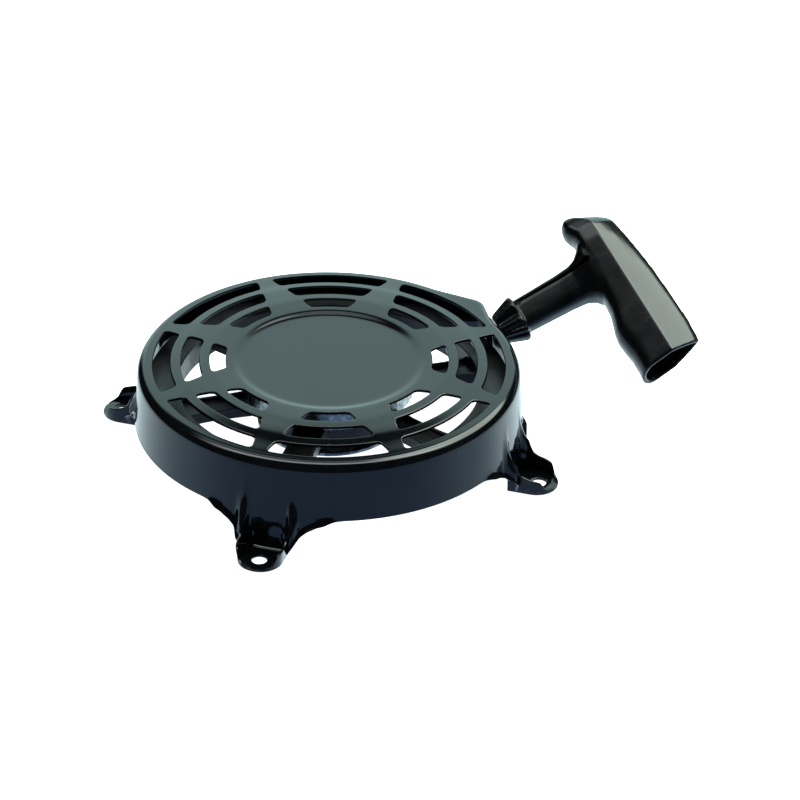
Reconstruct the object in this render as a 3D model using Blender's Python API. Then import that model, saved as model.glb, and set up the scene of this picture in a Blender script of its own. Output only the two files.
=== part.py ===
"""Recoil starter of a small gasoline engine: pressed steel housing, rope pulley, rewind spring, pawls and T-grip.

The origin is the centre of the recessed top disc, on the crankshaft axis. +Z points up, away from the engine, and
the four mounting ears stand on the plane ENGINE_FACE_Z. Every length below is in millimetres.
"""

import math

import bmesh
import bpy
from mathutils import Matrix, Vector

MM = 0.001

# Pressed steel housing
SHEET = 1.2
DISC_RADIUS = 43.0
RIM_RADIUS = 93.7
SKIRT_TOP_Z = -6.8
SKIRT_BOTTOM_Z = -32.2
SKIRT_BOTTOM_RADIUS = 95.3
HOUSING_COLUMNS = 72

# Cooling slots: eight groups of three arcs, closed by straight ends that lean towards one point
SLOT_GROUPS = 8
SLOT_RINGS = ((50.6, 58.3), (63.5, 72.5), (77.7, 86.2))
SLOT_END_SLOPE = 0.6445
SLOT_END_POINT = 35.3
SLOT_CORNER = 2.0

# Rope outlet: the rim steps out along a straight wall and ends in a flat face that holds the eyelet
OUTLET_NEAR_DEG = 30
OUTLET_CORNER_DEG = 40
OUTLET_FAR_DEG = 55
OUTLET_CORNER_RADIUS = 101.0

# Four mounting ears on a 152.4 mm square
HOLE_SQUARE = 152.4
HOLE_CIRCLE_RADIUS = HOLE_SQUARE / math.sqrt(2)
EAR_ANGLES_DEG = (-17.4, 72.6, 162.6, 252.6)
EAR_HOLE_RADIUS = 3.65
EAR_HALF_WIDTH = 11.0
EAR_TIP_CENTRE = 106.3
ENGINE_FACE_Z = -50.0

# Rewind spring, its cup and the centre post
CUP_RADIUS = 42.0
CUP_BOTTOM_Z = -14.0
POST_RADIUS = 8.0
POST_BOTTOM_Z = -38.5
SPRING_TURNS = 7
SPRING_INNER_RADIUS = 12.6
SPRING_OUTER_RADIUS = 39.6
SPRING_TOP_Z = -4.7
SPRING_BOTTOM_Z = -12.4
SPRING_STRIP = 0.8

# Rope and pulley
ROPE_RADIUS = 2.25
ROPE_LEAVES_AT = 86.2
GROOVE_RADIUS = 80.0
FLANGE_RADIUS = 89.0
PULLEY_RIM_INNER = 74.0
GROOVE_MIDDLE_Z = -18.0
GROOVE_HALF_WIDTH = 4.5
FLANGE_THICKNESS = 1.5
SPOKES = 6
SPOKE_FIRST_DEG = 17.0
SPOKE_HALF_WIDTH = 8.4
HUB_RADIUS = 34.0
HUB_BOTTOM_Z = -26.6

# Pawls and the friction plate that swings them out
PAWL_CIRCLE = 25.0
PAWL_ANGLES_DEG = (10.0, 190.0)
PAWL_PIN_RADIUS = 2.7
PAWL_TOP_Z = -28.9
PAWL_BOTTOM_Z = -31.4
PEG_RADIUS = 1.6
PEG_ON_PAWL = (0.5, -9.0)
PLATE_RADIUS = 35.0
PLATE_TOP_Z = -31.8
PLATE_BOTTOM_Z = -33.3
PLATE_SWING_DEG = 30.0
PAWL_PER_PLATE = 1.0

# T-grip: its own frame has s along the stem, away from the housing, and b along the bar
GRIP_ORIGIN = Vector((83.0, 57.2, -16.7))
STEM_DIRECTION = Vector((0.866, 0.309, 0.393)).normalized()
BAR_DIRECTION = Vector((0.4804, -0.7320, -0.4831))
NOSE_S = 2.0
BAR_HALF_DEPTH = 12.0
BAR_END_B = 61.6
STEM_HALF_DEPTH = 6.4
CHANNEL_RADIUS = 2.9

GAP = 0.3


# ---------------------------------------------------------------- building blocks


def clear_scene():
    for obj in list(bpy.data.objects):
        bpy.data.objects.remove(obj, do_unlink=True)


def finish_material(name, colour, roughness, metallic):
    material = bpy.data.materials.new(name)
    material.use_nodes = True
    shader = material.node_tree.nodes["Principled BSDF"]
    shader.inputs["Base Color"].default_value = (*colour, 1.0)
    shader.inputs["Roughness"].default_value = roughness
    shader.inputs["Metallic"].default_value = metallic
    return material


def object_from(bm, name, material=None, smooth=True):
    """Ends a bmesh that was drawn in millimetres and links it as an object in metres."""
    bmesh.ops.recalc_face_normals(bm, faces=bm.faces)
    bmesh.ops.scale(bm, vec=(MM, MM, MM), verts=bm.verts)
    mesh = bpy.data.meshes.new(name)
    bm.to_mesh(mesh)
    bm.free()
    if smooth:
        mesh.shade_smooth()
        mesh.set_sharp_from_angle(angle=math.radians(32))
    obj = bpy.data.objects.new(name, mesh)
    bpy.context.scene.collection.objects.link(obj)
    if material:
        mesh.materials.append(material)
    return obj


def lathe(profile, steps, closed=True, to_world=None):
    """Spins a profile of (radius, height) points about the axis. An open profile starts and ends on the axis."""
    bm = bmesh.new()
    points = [bm.verts.new((radius, 0.0, height)) for radius, height in profile]
    edges = [bm.edges.new(pair) for pair in zip(points, points[1:])]
    if closed:
        edges.append(bm.edges.new((points[-1], points[0])))
    bmesh.ops.spin(
        bm,
        geom=points + edges,
        cent=(0, 0, 0),
        axis=(0, 0, 1),
        angle=math.tau,
        steps=steps,
        use_merge=True,
    )
    bmesh.ops.remove_doubles(bm, verts=bm.verts, dist=1e-5)
    if to_world:
        bmesh.ops.transform(bm, matrix=to_world, verts=bm.verts)
    return bm


def layers(rings, to_world=None):
    """Closes a stack of outlines with the same number of points into a solid with flat ends."""
    bm = bmesh.new()
    stack = [[bm.verts.new(point) for point in ring] for ring in rings]
    count = len(stack[0])
    for lower, upper in zip(stack, stack[1:]):
        for i in range(count):
            j = (i + 1) % count
            bm.faces.new((lower[i], lower[j], upper[j], upper[i]))
    bm.faces.new(reversed(stack[0]))
    bm.faces.new(stack[-1])
    if to_world:
        bmesh.ops.transform(bm, matrix=to_world, verts=bm.verts)
    return bm


def prism(outline, low, high, to_world=None):
    rings = [[(x, y, z) for x, y in outline] for z in (low, high)]
    return layers(rings, to_world)


def arc(centre, radius, start_deg, end_deg, pieces):
    """Points along an arc, both ends included."""
    turns = [math.radians(start_deg + (end_deg - start_deg) * i / pieces) for i in range(pieces + 1)]
    return [(centre[0] + radius * math.cos(a), centre[1] + radius * math.sin(a)) for a in turns]


def circle(centre, radius, pieces):
    return arc(centre, radius, 0, 360, pieces)[:-1]


def inset(outline, depth):
    """The outline moved inwards, for the rounded edge of a moulded or pressed piece."""
    moved = []
    count = len(outline)
    for i, point in enumerate(outline):
        here = Vector(point)
        before = (here - Vector(outline[i - 1])).normalized()
        after = (Vector(outline[(i + 1) % count]) - here).normalized()
        along = (before + after).normalized()
        inward = Vector((-along.y, along.x))
        moved.append(tuple(here + inward * depth))
    return moved


def helper(obj):
    """Marks an object as a tool that only cuts or joins."""
    obj.hide_render = True
    obj.display_type = "WIRE"
    return obj


def boolean(target, tools, operation):
    """Applies one exact Boolean with every tool in the list."""
    group = bpy.data.collections.new(f"{target.name}_{operation.lower()}")
    for tool in tools:
        helper(tool)
        group.objects.link(tool)
    modifier = target.modifiers.new(operation.lower(), "BOOLEAN")
    modifier.operation = operation
    modifier.operand_type = "COLLECTION"
    modifier.collection = group
    modifier.solver = "EXACT"


def turned(angle_deg):
    return Matrix.Rotation(math.radians(angle_deg), 4, "Z")


def moving(obj, pivot):
    """Puts the object's origin on its joint axis without moving its surface."""
    offset = pivot * MM
    obj.data.transform(Matrix.Translation(-offset))
    obj.location = offset
    return obj


def tube(name, points, radius, material, sides=2):
    """A round rod or rope along a list of points."""
    curve = bpy.data.curves.new(name, "CURVE")
    curve.dimensions = "3D"
    curve.bevel_depth = radius * MM
    curve.bevel_resolution = sides
    curve.use_fill_caps = True
    spline = curve.splines.new("POLY")
    spline.points.add(len(points) - 1)
    for target, point in zip(spline.points, points):
        target.co = (*(Vector(point) * MM), 1.0)
    curve.materials.append(material)
    obj = bpy.data.objects.new(name, curve)
    bpy.context.scene.collection.objects.link(obj)
    return obj


# ---------------------------------------------------------------- housing


def housing_profile():
    """From the axis over the domed top, down the skirt, and back along the inside."""
    top = [(0, 0), (DISC_RADIUS, 0), (45.0, 0.35), (47.0, 1.0), (54.3, 1.35), (60.9, 1.25), (67.9, 0.7)]
    top += [(75.2, 0.0), (82.0, -0.95), (87.5, -1.55)]
    rim = [(91.3, -2.6), (93.1, -4.4), (RIM_RADIUS, SKIRT_TOP_Z), (SKIRT_BOTTOM_RADIUS, SKIRT_BOTTOM_Z)]
    inside = [(SKIRT_BOTTOM_RADIUS - SHEET, SKIRT_BOTTOM_Z), (RIM_RADIUS - SHEET, SKIRT_TOP_Z)]
    inside += [(91.7, -4.8), (88.5, -2.95), (75.1, -1.2), (60.9, 0.05), (47.2, -0.25)]
    inside += [(DISC_RADIUS, -SHEET), (0, -SHEET)]
    return top + rim + inside


def outlet_step(angle_deg):
    """How far the rim stands out at this angle, so that the outlet's walls are straight in plan."""
    if OUTLET_NEAR_DEG <= angle_deg <= OUTLET_CORNER_DEG:
        start = (OUTLET_NEAR_DEG, RIM_RADIUS)
        end = (OUTLET_CORNER_DEG, OUTLET_CORNER_RADIUS)
    elif OUTLET_CORNER_DEG < angle_deg <= OUTLET_FAR_DEG:
        start = (OUTLET_CORNER_DEG, OUTLET_CORNER_RADIUS)
        end = (OUTLET_FAR_DEG, RIM_RADIUS)
    else:
        return 0.0
    (x1, y1), (x2, y2) = (arc((0, 0), radius, angle, angle, 1)[0] for angle, radius in (start, end))
    ray = math.radians(angle_deg)
    across = (x2 - x1) * math.sin(ray) - (y2 - y1) * math.cos(ray)
    reach = (x2 * y1 - x1 * y2) / across
    return abs(reach) - RIM_RADIUS


def press_outlet(bm):
    """Moves the rim and the skirt out to the outlet's straight walls."""
    ledge = 88.0
    for vert in bm.verts:
        radius = vert.co.xy.length
        if radius < ledge:
            continue
        angle = math.degrees(math.atan2(vert.co.y, vert.co.x))
        grown = (radius + outlet_step(round(angle, 3))) / radius
        vert.co.x *= grown
        vert.co.y *= grown


def slot_outline(inner, outer):
    """One slot of the group that lies along +X, with its four corners rounded."""
    k2 = SLOT_END_SLOPE**2

    def corner_angle(radius):
        root = math.sqrt(k2**2 * SLOT_END_POINT**2 - (k2 + 1) * (k2 * SLOT_END_POINT**2 - radius**2))
        along = (k2 * SLOT_END_POINT + root) / (k2 + 1)
        return math.degrees(math.acos(along / radius))

    half_inner, half_outer = corner_angle(inner), corner_angle(outer)
    trim_inner = math.degrees(SLOT_CORNER / inner)
    trim_outer = math.degrees(SLOT_CORNER / outer)
    corners = {
        "inner": Vector(arc((0, 0), inner, half_inner, half_inner, 1)[0]),
        "outer": Vector(arc((0, 0), outer, half_outer, half_outer, 1)[0]),
    }
    end = (corners["outer"] - corners["inner"]).normalized() * SLOT_CORNER

    def rounded(start, corner, finish):
        middle = (Vector(start) + Vector(finish) + 2 * corner) / 4
        return [tuple(middle)]

    outer_arc = arc((0, 0), outer, 0, half_outer - trim_outer, 3)
    inner_arc = arc((0, 0), inner, half_inner - trim_inner, 0, 2)
    near_outer = tuple(corners["outer"] - end)
    near_inner = tuple(corners["inner"] + end)
    half = outer_arc + rounded(outer_arc[-1], corners["outer"], near_outer) + [near_outer, near_inner]
    half += rounded(near_inner, corners["inner"], inner_arc[0]) + inner_arc
    mirrored = [(x, -y) for x, y in reversed(half[1:-1])]
    return half + mirrored


def slot_tools():
    tools = []
    for group in range(SLOT_GROUPS):
        for ring, (inner, outer) in enumerate(SLOT_RINGS):
            to_world = turned(360.0 / SLOT_GROUPS * group)
            bm = prism(slot_outline(inner, outer), -6.0, 4.0, to_world)
            tools.append(object_from(bm, f"cut_slot_{group}_{ring}"))
    return tools


def skirt_radius(height):
    slope = (SKIRT_BOTTOM_RADIUS - RIM_RADIUS) / (SKIRT_TOP_Z - SKIRT_BOTTOM_Z)
    return RIM_RADIUS + slope * (SKIRT_TOP_Z - height)


def ear_panel(to_world):
    """The tongue of the skirt that runs down to the ear, wide at the top and as wide as the ear below."""
    rows = ((-30.6, 25.0), (-33.4, 19.0), (-37.0, 14.0), (-42.0, 11.4), (ENGINE_FACE_Z + 0.5, 10.6))
    columns = 6
    proud = 0.4
    rings = []
    for height, half_width in rows:
        outer = skirt_radius(height) + proud
        inner = outer - SHEET - 0.15
        spread = [half_width * (2 * i / columns - 1) for i in range(columns + 1)]
        ring = [(math.sqrt(outer**2 - v**2), v, height) for v in spread]
        ring += [(math.sqrt(inner**2 - v**2), v, height) for v in reversed(spread)]
        rings.append(ring)
    return object_from(layers(rings, to_world), "join_ear_panel")


def ear_tab(to_world):
    tip = arc((EAR_TIP_CENTRE, 0), EAR_HALF_WIDTH, -90, 90, 10)
    outline = [(94.4, -EAR_HALF_WIDTH), *tip, (94.4, EAR_HALF_WIDTH)]
    return object_from(prism(outline, ENGINE_FACE_Z, ENGINE_FACE_Z + SHEET, to_world), "join_ear_tab")


def ear_gusset(side, to_world):
    """The upright side of the ear, which ties the tab to the tongue."""
    low = ENGINE_FACE_Z + 0.4
    upright = [(94.5, -35.5), (95.5, low), (109.0, low), (109.4, -45.6), (104.5, -41.6), (99.0, -38.6)]
    outer = EAR_HALF_WIDTH - 0.15
    inner = outer - SHEET
    rings = [[(u, side * v, z) for u, z in upright] for v in (inner, outer)]
    return object_from(layers(rings, to_world), "join_ear_gusset")


def eyelet_frame():
    """The eyelet's centre on the outlet's end face and the direction that it points."""
    near = Vector(arc((0, 0), RIM_RADIUS, OUTLET_NEAR_DEG, OUTLET_NEAR_DEG, 1)[0])
    corner = Vector(arc((0, 0), OUTLET_CORNER_RADIUS, OUTLET_CORNER_DEG, OUTLET_CORNER_DEG, 1)[0])
    along = (corner - near).normalized()
    flare = (SKIRT_BOTTOM_RADIUS - RIM_RADIUS) / (SKIRT_TOP_Z - SKIRT_BOTTOM_Z)
    outward = Vector((along.y, -along.x, flare)).normalized()
    middle_radius = skirt_radius(GRIP_ORIGIN.z) - SHEET / 2
    on_wall = near.normalized() * middle_radius
    on_wall = Vector((on_wall.x, on_wall.y, GRIP_ORIGIN.z))
    reach = (on_wall - GRIP_ORIGIN).dot(outward) / STEM_DIRECTION.dot(outward)
    return GRIP_ORIGIN + STEM_DIRECTION * reach, outward


def axis_frame(centre, direction):
    """A matrix that takes +Z to this direction, at this centre."""
    return Matrix.Translation(centre) @ direction.to_track_quat("Z", "Y").to_matrix().to_4x4()


def build_housing(material):
    shell = lathe(housing_profile(), HOUSING_COLUMNS, closed=False)
    press_outlet(shell)
    housing = object_from(shell, "housing", material)
    joins, cuts = [], slot_tools()
    for angle in EAR_ANGLES_DEG:
        to_world = turned(angle)
        joins.append(ear_panel(to_world))
        joins.append(ear_tab(to_world))
        joins += [ear_gusset(side, to_world) for side in (-1, 1)]
        hole = circle((HOLE_CIRCLE_RADIUS, 0), EAR_HOLE_RADIUS, 20)
        cuts.append(object_from(prism(hole, ENGINE_FACE_Z - 3, ENGINE_FACE_Z + 4, to_world), "cut_ear_hole"))
    eyelet_hole_radius = 7.3
    hole = prism(circle((0, 0), eyelet_hole_radius, 24), -5.0, 5.0, axis_frame(*eyelet_frame()))
    cuts.append(object_from(hole, "cut_eyelet_hole"))
    boolean(housing, joins, "UNION")
    boolean(housing, cuts, "DIFFERENCE")
    return housing


def build_eyelet(material):
    """A rolled steel eyelet with a bell mouth on both sides, held in the outlet's end face."""
    mouth = [(7.4, 2.9), (5.2, 2.5), (4.1, 1.3), (3.8, 0.0), (4.1, -1.3), (5.2, -2.5), (7.2, -2.8)]
    seat = [(9.0, -1.9), (9.0, -1.2), (6.9, -1.0), (6.9, 1.0), (9.3, 1.2), (9.3, 2.1)]
    profile = list(reversed(mouth + seat))
    return object_from(lathe(profile, 32, to_world=axis_frame(*eyelet_frame())), "rope_eyelet", material)


# ---------------------------------------------------------------- spring, cup and post


def build_spring_cup(material):
    inner = CUP_RADIUS - 1.0
    profile = [(4, -1.5), (CUP_RADIUS - 1, -1.5), (CUP_RADIUS, -2.4), (CUP_RADIUS, CUP_BOTTOM_Z)]
    profile += [(inner, CUP_BOTTOM_Z), (inner, -2.6), (4, -2.6)]
    return object_from(lathe(profile, 48), "spring_cup", material)


def build_post(material):
    bore = 3.1
    profile = [(0, -2.9), (13, -2.9), (13, -4.3), (POST_RADIUS, -4.3), (POST_RADIUS, POST_BOTTOM_Z)]
    profile += [(bore, POST_BOTTOM_Z), (bore, -21.5), (0, -21.5)]
    return object_from(lathe(profile, 28, closed=False), "centre_post", material)


def build_rewind_spring(material):
    """A flat spiral strip between the cup and the pulley's arbor, with a hook at each end."""
    steps_per_turn = 20
    steps = SPRING_TURNS * steps_per_turn
    half = SPRING_STRIP / 2
    outer_side, inner_side = [], []
    for i in range(steps + 1):
        turn = math.tau * i / steps_per_turn
        radius = SPRING_INNER_RADIUS + (SPRING_OUTER_RADIUS - SPRING_INNER_RADIUS) * i / steps
        heading = Vector((math.cos(turn), math.sin(turn)))
        outer_side.append(tuple(heading * (radius + half)))
        inner_side.append(tuple(heading * (radius - half)))
    strip = outer_side + list(reversed(inner_side))
    bm = prism(strip, SPRING_BOTTOM_Z, SPRING_TOP_Z)
    return object_from(bm, "rewind_spring", material)


def build_spring_keeper(material):
    profile = [(12.4, -12.8), (40.5, -12.8), (40.5, -13.5), (12.4, -13.5)]
    return object_from(lathe(profile, 40), "spring_keeper", material)


# ---------------------------------------------------------------- pulley and rope


def build_pulley(material):
    """The rope groove, six spokes and the hub, which carries the spring arbor above and the pawls below."""
    top = GROOVE_MIDDLE_Z + GROOVE_HALF_WIDTH
    low = GROOVE_MIDDLE_Z - GROOVE_HALF_WIDTH
    rim = [(PULLEY_RIM_INNER, top + FLANGE_THICKNESS), (FLANGE_RADIUS, top + FLANGE_THICKNESS)]
    rim += [(FLANGE_RADIUS, top), (GROOVE_RADIUS, top), (GROOVE_RADIUS, low), (FLANGE_RADIUS, low)]
    rim += [(FLANGE_RADIUS, low - FLANGE_THICKNESS), (PULLEY_RIM_INNER, low - FLANGE_THICKNESS)]
    pulley = object_from(lathe(rim, 64), "pulley", material)

    bore = POST_RADIUS + 2.0
    hub = [(bore, -5.2), (11.7, -5.2), (11.7, -14.8), (37.0, -14.8), (37.0, -21.0), (HUB_RADIUS, -21.0)]
    hub += [(HUB_RADIUS, HUB_BOTTOM_Z), (bore, HUB_BOTTOM_Z)]
    joins = [object_from(lathe(hub, 40), "join_hub")]
    for i in range(SPOKES):
        inner, outer = 30.0, PULLEY_RIM_INNER + 1.0
        waist = SPOKE_HALF_WIDTH - 1.2
        outline = [(inner, -SPOKE_HALF_WIDTH - 1.5), (45.0, -waist)]
        outline += [(outer - 8.0, -waist), (outer, -SPOKE_HALF_WIDTH)]
        outline += [(x, -y) for x, y in reversed(outline)]
        to_world = turned(SPOKE_FIRST_DEG + 360.0 / SPOKES * i)
        joins.append(object_from(prism(outline, -20.6, -15.4, to_world), "join_spoke"))
    boolean(pulley, joins, "UNION")

    cuts = []
    for angle in PAWL_ANGLES_DEG:
        pin_hole = circle((PAWL_CIRCLE, 0), PAWL_PIN_RADIUS + GAP, 16)
        cuts.append(object_from(prism(pin_hole, -30.0, -21.7, turned(angle)), "cut_pin_hole"))
    anchor_radius = 2.7
    radial = Matrix.Translation((0, 0, GROOVE_MIDDLE_Z)) @ turned(ROPE_ANCHOR_DEG) @ Matrix.Rotation(
        math.pi / 2, 4, "Y"
    )
    hole = prism(circle((0, 0), anchor_radius, 14), PULLEY_RIM_INNER - 3.0, GROOVE_RADIUS + 2.0, radial)
    cuts.append(object_from(hole, "cut_rope_hole"))
    boolean(pulley, cuts, "DIFFERENCE")
    return pulley


ROPE_ANCHOR_DEG = SPOKE_FIRST_DEG + 73.0


def build_pulley_bush(material):
    inner, outer = POST_RADIUS + GAP, POST_RADIUS + 2.0 - GAP
    profile = [(inner, -5.4), (outer, -5.4), (outer, HUB_BOTTOM_Z - 0.2), (inner, HUB_BOTTOM_Z - 0.2)]
    return object_from(lathe(profile, 28), "pulley_bush", material)


def wound_profile():
    """Two layers of two turns each, as one ring with the rope's round edges."""
    half = GROOVE_HALF_WIDTH - GAP
    outer = ROPE_LEAVES_AT + ROPE_RADIUS
    inner = GROOVE_RADIUS + GAP
    z = GROOVE_MIDDLE_Z
    right = [(inner, z + half), (83.6, z + half), (84.2, z + half - 0.9), (84.8, z + half), (87.4, z + half)]
    right += [(outer, z + half - 1.6), (outer, z + 1.0), (87.4, z)]
    left = [(r, 2 * z - h) for r, h in reversed(right[:-1])]
    return right + left


def build_wound_rope(material):
    return object_from(lathe(wound_profile(), 48), "rope_wound", material)


def bent_line(points, corner, pieces):
    """A line through three points whose corner is a smooth curve that starts this far from it."""
    start, middle, end = (Vector(p) for p in points)
    enter = middle + (start - middle).normalized() * corner
    leave = middle + (end - middle).normalized() * corner
    bend = []
    for i in range(pieces + 1):
        t = i / pieces
        bend.append(enter * (1 - t) ** 2 + middle * 2 * t * (1 - t) + leave * t**2)
    return [start, *bend, end]


def rope_tangent_point(target):
    """Where the rope leaves the wound turns on its straight way to this point."""
    distance = target.xy.length
    angle = math.atan2(target.y, target.x) + math.acos(ROPE_LEAVES_AT / distance)
    return Vector((ROPE_LEAVES_AT * math.cos(angle), ROPE_LEAVES_AT * math.sin(angle), GROOVE_MIDDLE_Z))


def build_rope_lead(material):
    """The stretch from the pulley through the eyelet, where it turns into the grip's direction."""
    eyelet, _ = eyelet_frame()
    start = rope_tangent_point(eyelet)
    nose = GRIP_ORIGIN + STEM_DIRECTION * (NOSE_S - 0.1)
    path = bent_line((start, eyelet, nose), 4.5, 8)
    rope = tube("rope_lead", path, ROPE_RADIUS, material)
    mesh = bpy.data.meshes.new_from_object(rope)
    bpy.data.objects.remove(rope)
    bm = bmesh.new()
    bm.from_mesh(mesh)
    bmesh.ops.remove_doubles(bm, verts=bm.verts, dist=1e-7)
    bmesh.ops.scale(bm, vec=(1 / MM, 1 / MM, 1 / MM), verts=bm.verts)
    lead = object_from(bm, "rope_lead", material)
    clear_of_turns = circle((0, 0), ROPE_LEAVES_AT + ROPE_RADIUS + GAP, 90)
    cutter = object_from(prism(clear_of_turns, -30.0, -5.0), "cut_wound_turns")
    boolean(lead, [cutter], "DIFFERENCE")
    return lead


def build_pulley_knot(material):
    """The rope's inner end, drawn through the rim and knotted behind it."""
    outer = GROOVE_RADIUS - GAP
    head = PULLEY_RIM_INNER - 2.4
    knot = [(0, outer), (2.2, outer), (2.2, head), (4.3, head - 0.6), (5.0, head - 3.2)]
    knot += [(4.2, head - 6.0), (2.0, head - 7.6), (0, head - 8.0)]
    radial = Matrix.Translation((0, 0, GROOVE_MIDDLE_Z)) @ turned(ROPE_ANCHOR_DEG) @ Matrix.Rotation(
        math.pi / 2, 4, "Y"
    )
    return object_from(lathe(knot, 14, closed=False, to_world=radial), "pulley_knot", material)


# ---------------------------------------------------------------- pawls


def pawl_place(angle_deg):
    return turned(angle_deg) @ Matrix.Translation((PAWL_CIRCLE, 0, 0))


def pawl_outline():
    boss = arc((0, 0), 5.0, 0, 180, 9)
    inner_edge = [(-4.3, -10.0), (-3.6, -19.0), (-1.6, -22.6), (1.2, -24.0)]
    outer_edge = [(4.6, -23.2), (4.9, -20.6), (3.9, -17.5), (4.0, -9.0)]
    return boss + inner_edge + outer_edge


def build_pawl(number, angle_deg, material):
    """A flat steel pawl with its pivot hole and the peg that runs in the friction plate's cam slot."""
    place = pawl_place(angle_deg)
    pawl = object_from(prism(pawl_outline(), PAWL_BOTTOM_Z, PAWL_TOP_Z, place), f"pawl_{number}", material)
    peg = circle(PEG_ON_PAWL, PEG_RADIUS, 12)
    boolean(pawl, [object_from(prism(peg, PLATE_BOTTOM_Z - GAP, PAWL_TOP_Z - 1.0, place), "join_peg")], "UNION")
    hole = circle((0, 0), PAWL_PIN_RADIUS + GAP, 14)
    boolean(pawl, [object_from(prism(hole, -36.0, -25.0, place), "cut_pivot")], "DIFFERENCE")
    return pawl


def build_pawl_pin(number, angle_deg, material):
    place = pawl_place(angle_deg)
    profile = [(0, -22.1), (2.3, -22.1), (PAWL_PIN_RADIUS, -22.5)]
    profile += [(PAWL_PIN_RADIUS, PAWL_BOTTOM_Z), (0, PAWL_BOTTOM_Z)]
    return object_from(lathe(profile, 14, closed=False, to_world=place), f"pawl_pin_{number}", material)


def build_pawl_spring(number, angle_deg, material):
    """A single-turn torsion spring round the pin, with one leg on the hub and one along the pawl."""
    wire, coil, high, low, steps = 0.3, 3.9, -27.3, -28.3, 16
    points = [(-9.5, 3.4, high), (-4.0, 3.8, high)]
    for i in range(steps + 1):
        turn = math.radians(105 - 465 * i / steps)
        points.append((coil * math.cos(turn), coil * math.sin(turn), high + (low - high) * i / steps))
    points.append((3.7, -6.0, low))
    points.append((2.9, -12.0, low))
    place = pawl_place(angle_deg)
    return tube(f"pawl_spring_{number}", [place @ Vector(p) for p in points], wire, material)


def cam_path(pieces):
    """The peg's way across the friction plate as the plate turns and the pawl swings out."""
    path = []
    for i in range(-1, pieces + 2):
        plate = math.radians(PLATE_SWING_DEG) * i / pieces
        pawl = plate * PAWL_PER_PLATE
        swung = Matrix.Rotation(pawl, 2) @ Vector(PEG_ON_PAWL)
        on_pulley = Vector((PAWL_CIRCLE, 0)) + swung
        path.append(Matrix.Rotation(-plate, 2) @ on_pulley)
    return path


def cam_slot_outline():
    width = PEG_RADIUS + 0.5
    path = cam_path(6)
    left, right = [], []
    for i, point in enumerate(path):
        ahead = path[min(i + 1, len(path) - 1)] - path[max(i - 1, 0)]
        across = Vector((-ahead.y, ahead.x)).normalized() * width
        left.append(tuple(point + across))
        right.append(tuple(point - across))
    return right + list(reversed(left))


def build_friction_plate(material):
    """A plate that drags on the brake spring and pushes the pawls out through two cam slots."""
    inner = POST_RADIUS + 0.7
    ring = [(inner, PLATE_TOP_Z), (PLATE_RADIUS, PLATE_TOP_Z)]
    ring += [(PLATE_RADIUS, PLATE_BOTTOM_Z), (inner, PLATE_BOTTOM_Z)]
    plate = object_from(lathe(ring, 44), "friction_plate", material)
    cuts = []
    for angle in PAWL_ANGLES_DEG:
        cuts.append(object_from(prism(cam_slot_outline(), -36.0, -30.0, turned(angle)), "cut_cam_slot"))
        window = arc((0, 0), 27.0, 45, 115, 7) + arc((0, 0), 16.0, 115, 45, 6)
        cuts.append(object_from(prism(window, -36.0, -30.0, turned(angle)), "cut_window"))
    boolean(plate, cuts, "DIFFERENCE")
    return plate


def build_brake_spring(material):
    wire, coil, turns, steps = 0.6, 11.0, 2.25, 32
    high, low = PLATE_BOTTOM_Z - wire - 0.35, -38.2 + wire
    points = []
    for i in range(steps + 1):
        turn = math.tau * turns * i / steps
        points.append((coil * math.cos(turn), coil * math.sin(turn), high + (low - high) * i / steps))
    return tube("brake_spring", points, wire, material)


def build_thrust_washer(material):
    profile = [(3.2, -38.8), (15.0, -38.8), (15.0, -40.2), (3.2, -40.2)]
    return object_from(lathe(profile, 32), "thrust_washer", material)


def build_centre_screw(material):
    """A hexagon flange screw that holds the washer, the brake spring and the friction plate on the post."""
    shank = [(0, -23.0), (2.4, -23.0), (2.8, -24.0), (2.8, -40.4)]
    shank += [(7.4, -40.5), (7.4, -41.7), (4.0, -42.1), (0, -42.1)]
    screw = object_from(lathe(shank, 24, closed=False), "centre_screw", material)
    head = object_from(prism(circle((0, 0), 5.77, 6), -45.4, -41.2), "join_head")
    boolean(screw, [head], "UNION")
    return screw


# ---------------------------------------------------------------- grip


def grip_matrix():
    """Takes grip coordinates (s along the stem, b along the bar, n out of their plane) to the world."""
    along_s = STEM_DIRECTION
    along_b = (BAR_DIRECTION - along_s * BAR_DIRECTION.dot(along_s)).normalized()
    along_n = along_s.cross(along_b)
    turn = Matrix((along_s, along_b, along_n)).transposed().to_4x4()
    return Matrix.Translation(GRIP_ORIGIN) @ turn


def bar_outline():
    """The bar in (s, b): finger side with its waves, rounded upper end, crowned palm side, straight lower end."""
    fingers = [(50.4, 61.6), (50.3, 52.0), (50.1, 42.0), (50.8, 34.5), (52.6, 28.0), (54.0, 21.0)]
    fingers += [(54.6, 10.0), (55.4, -2.0), (56.6, -14.0), (56.4, -21.0), (54.6, -26.4), (55.6, -30.6)]
    upper_end = [(59.3, -32.4), (68.7, -30.0), (75.5, -26.8), (80.2, -22.5)]
    palm = [(82.2, -12.0), (83.8, 0.0), (84.8, 12.0), (85.5, 30.0), (85.9, 45.0), (85.2, 57.9)]
    return list(reversed(fingers + upper_end + palm))


def grip_layers(outline, half_depth, edge):
    """Stacks the outline in n, drawn in at both faces for a moulded edge."""
    drawn_in = inset(outline, edge)
    levels = ((-half_depth, drawn_in), (edge - half_depth, outline), (half_depth - edge, outline))
    levels += ((half_depth, drawn_in),)
    return [[(s, b, n) for s, b in ring] for n, ring in levels]


def stem_outline():
    upper = [(12.5, -7.4), (40.0, -8.2), (48.0, -10.0), (54.0, -15.0), (62.0, -15.5)]
    lower = [(62.0, 15.5), (53.0, 14.0), (47.5, 10.2), (40.0, 8.2), (12.5, 7.4)]
    return upper + lower


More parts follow.
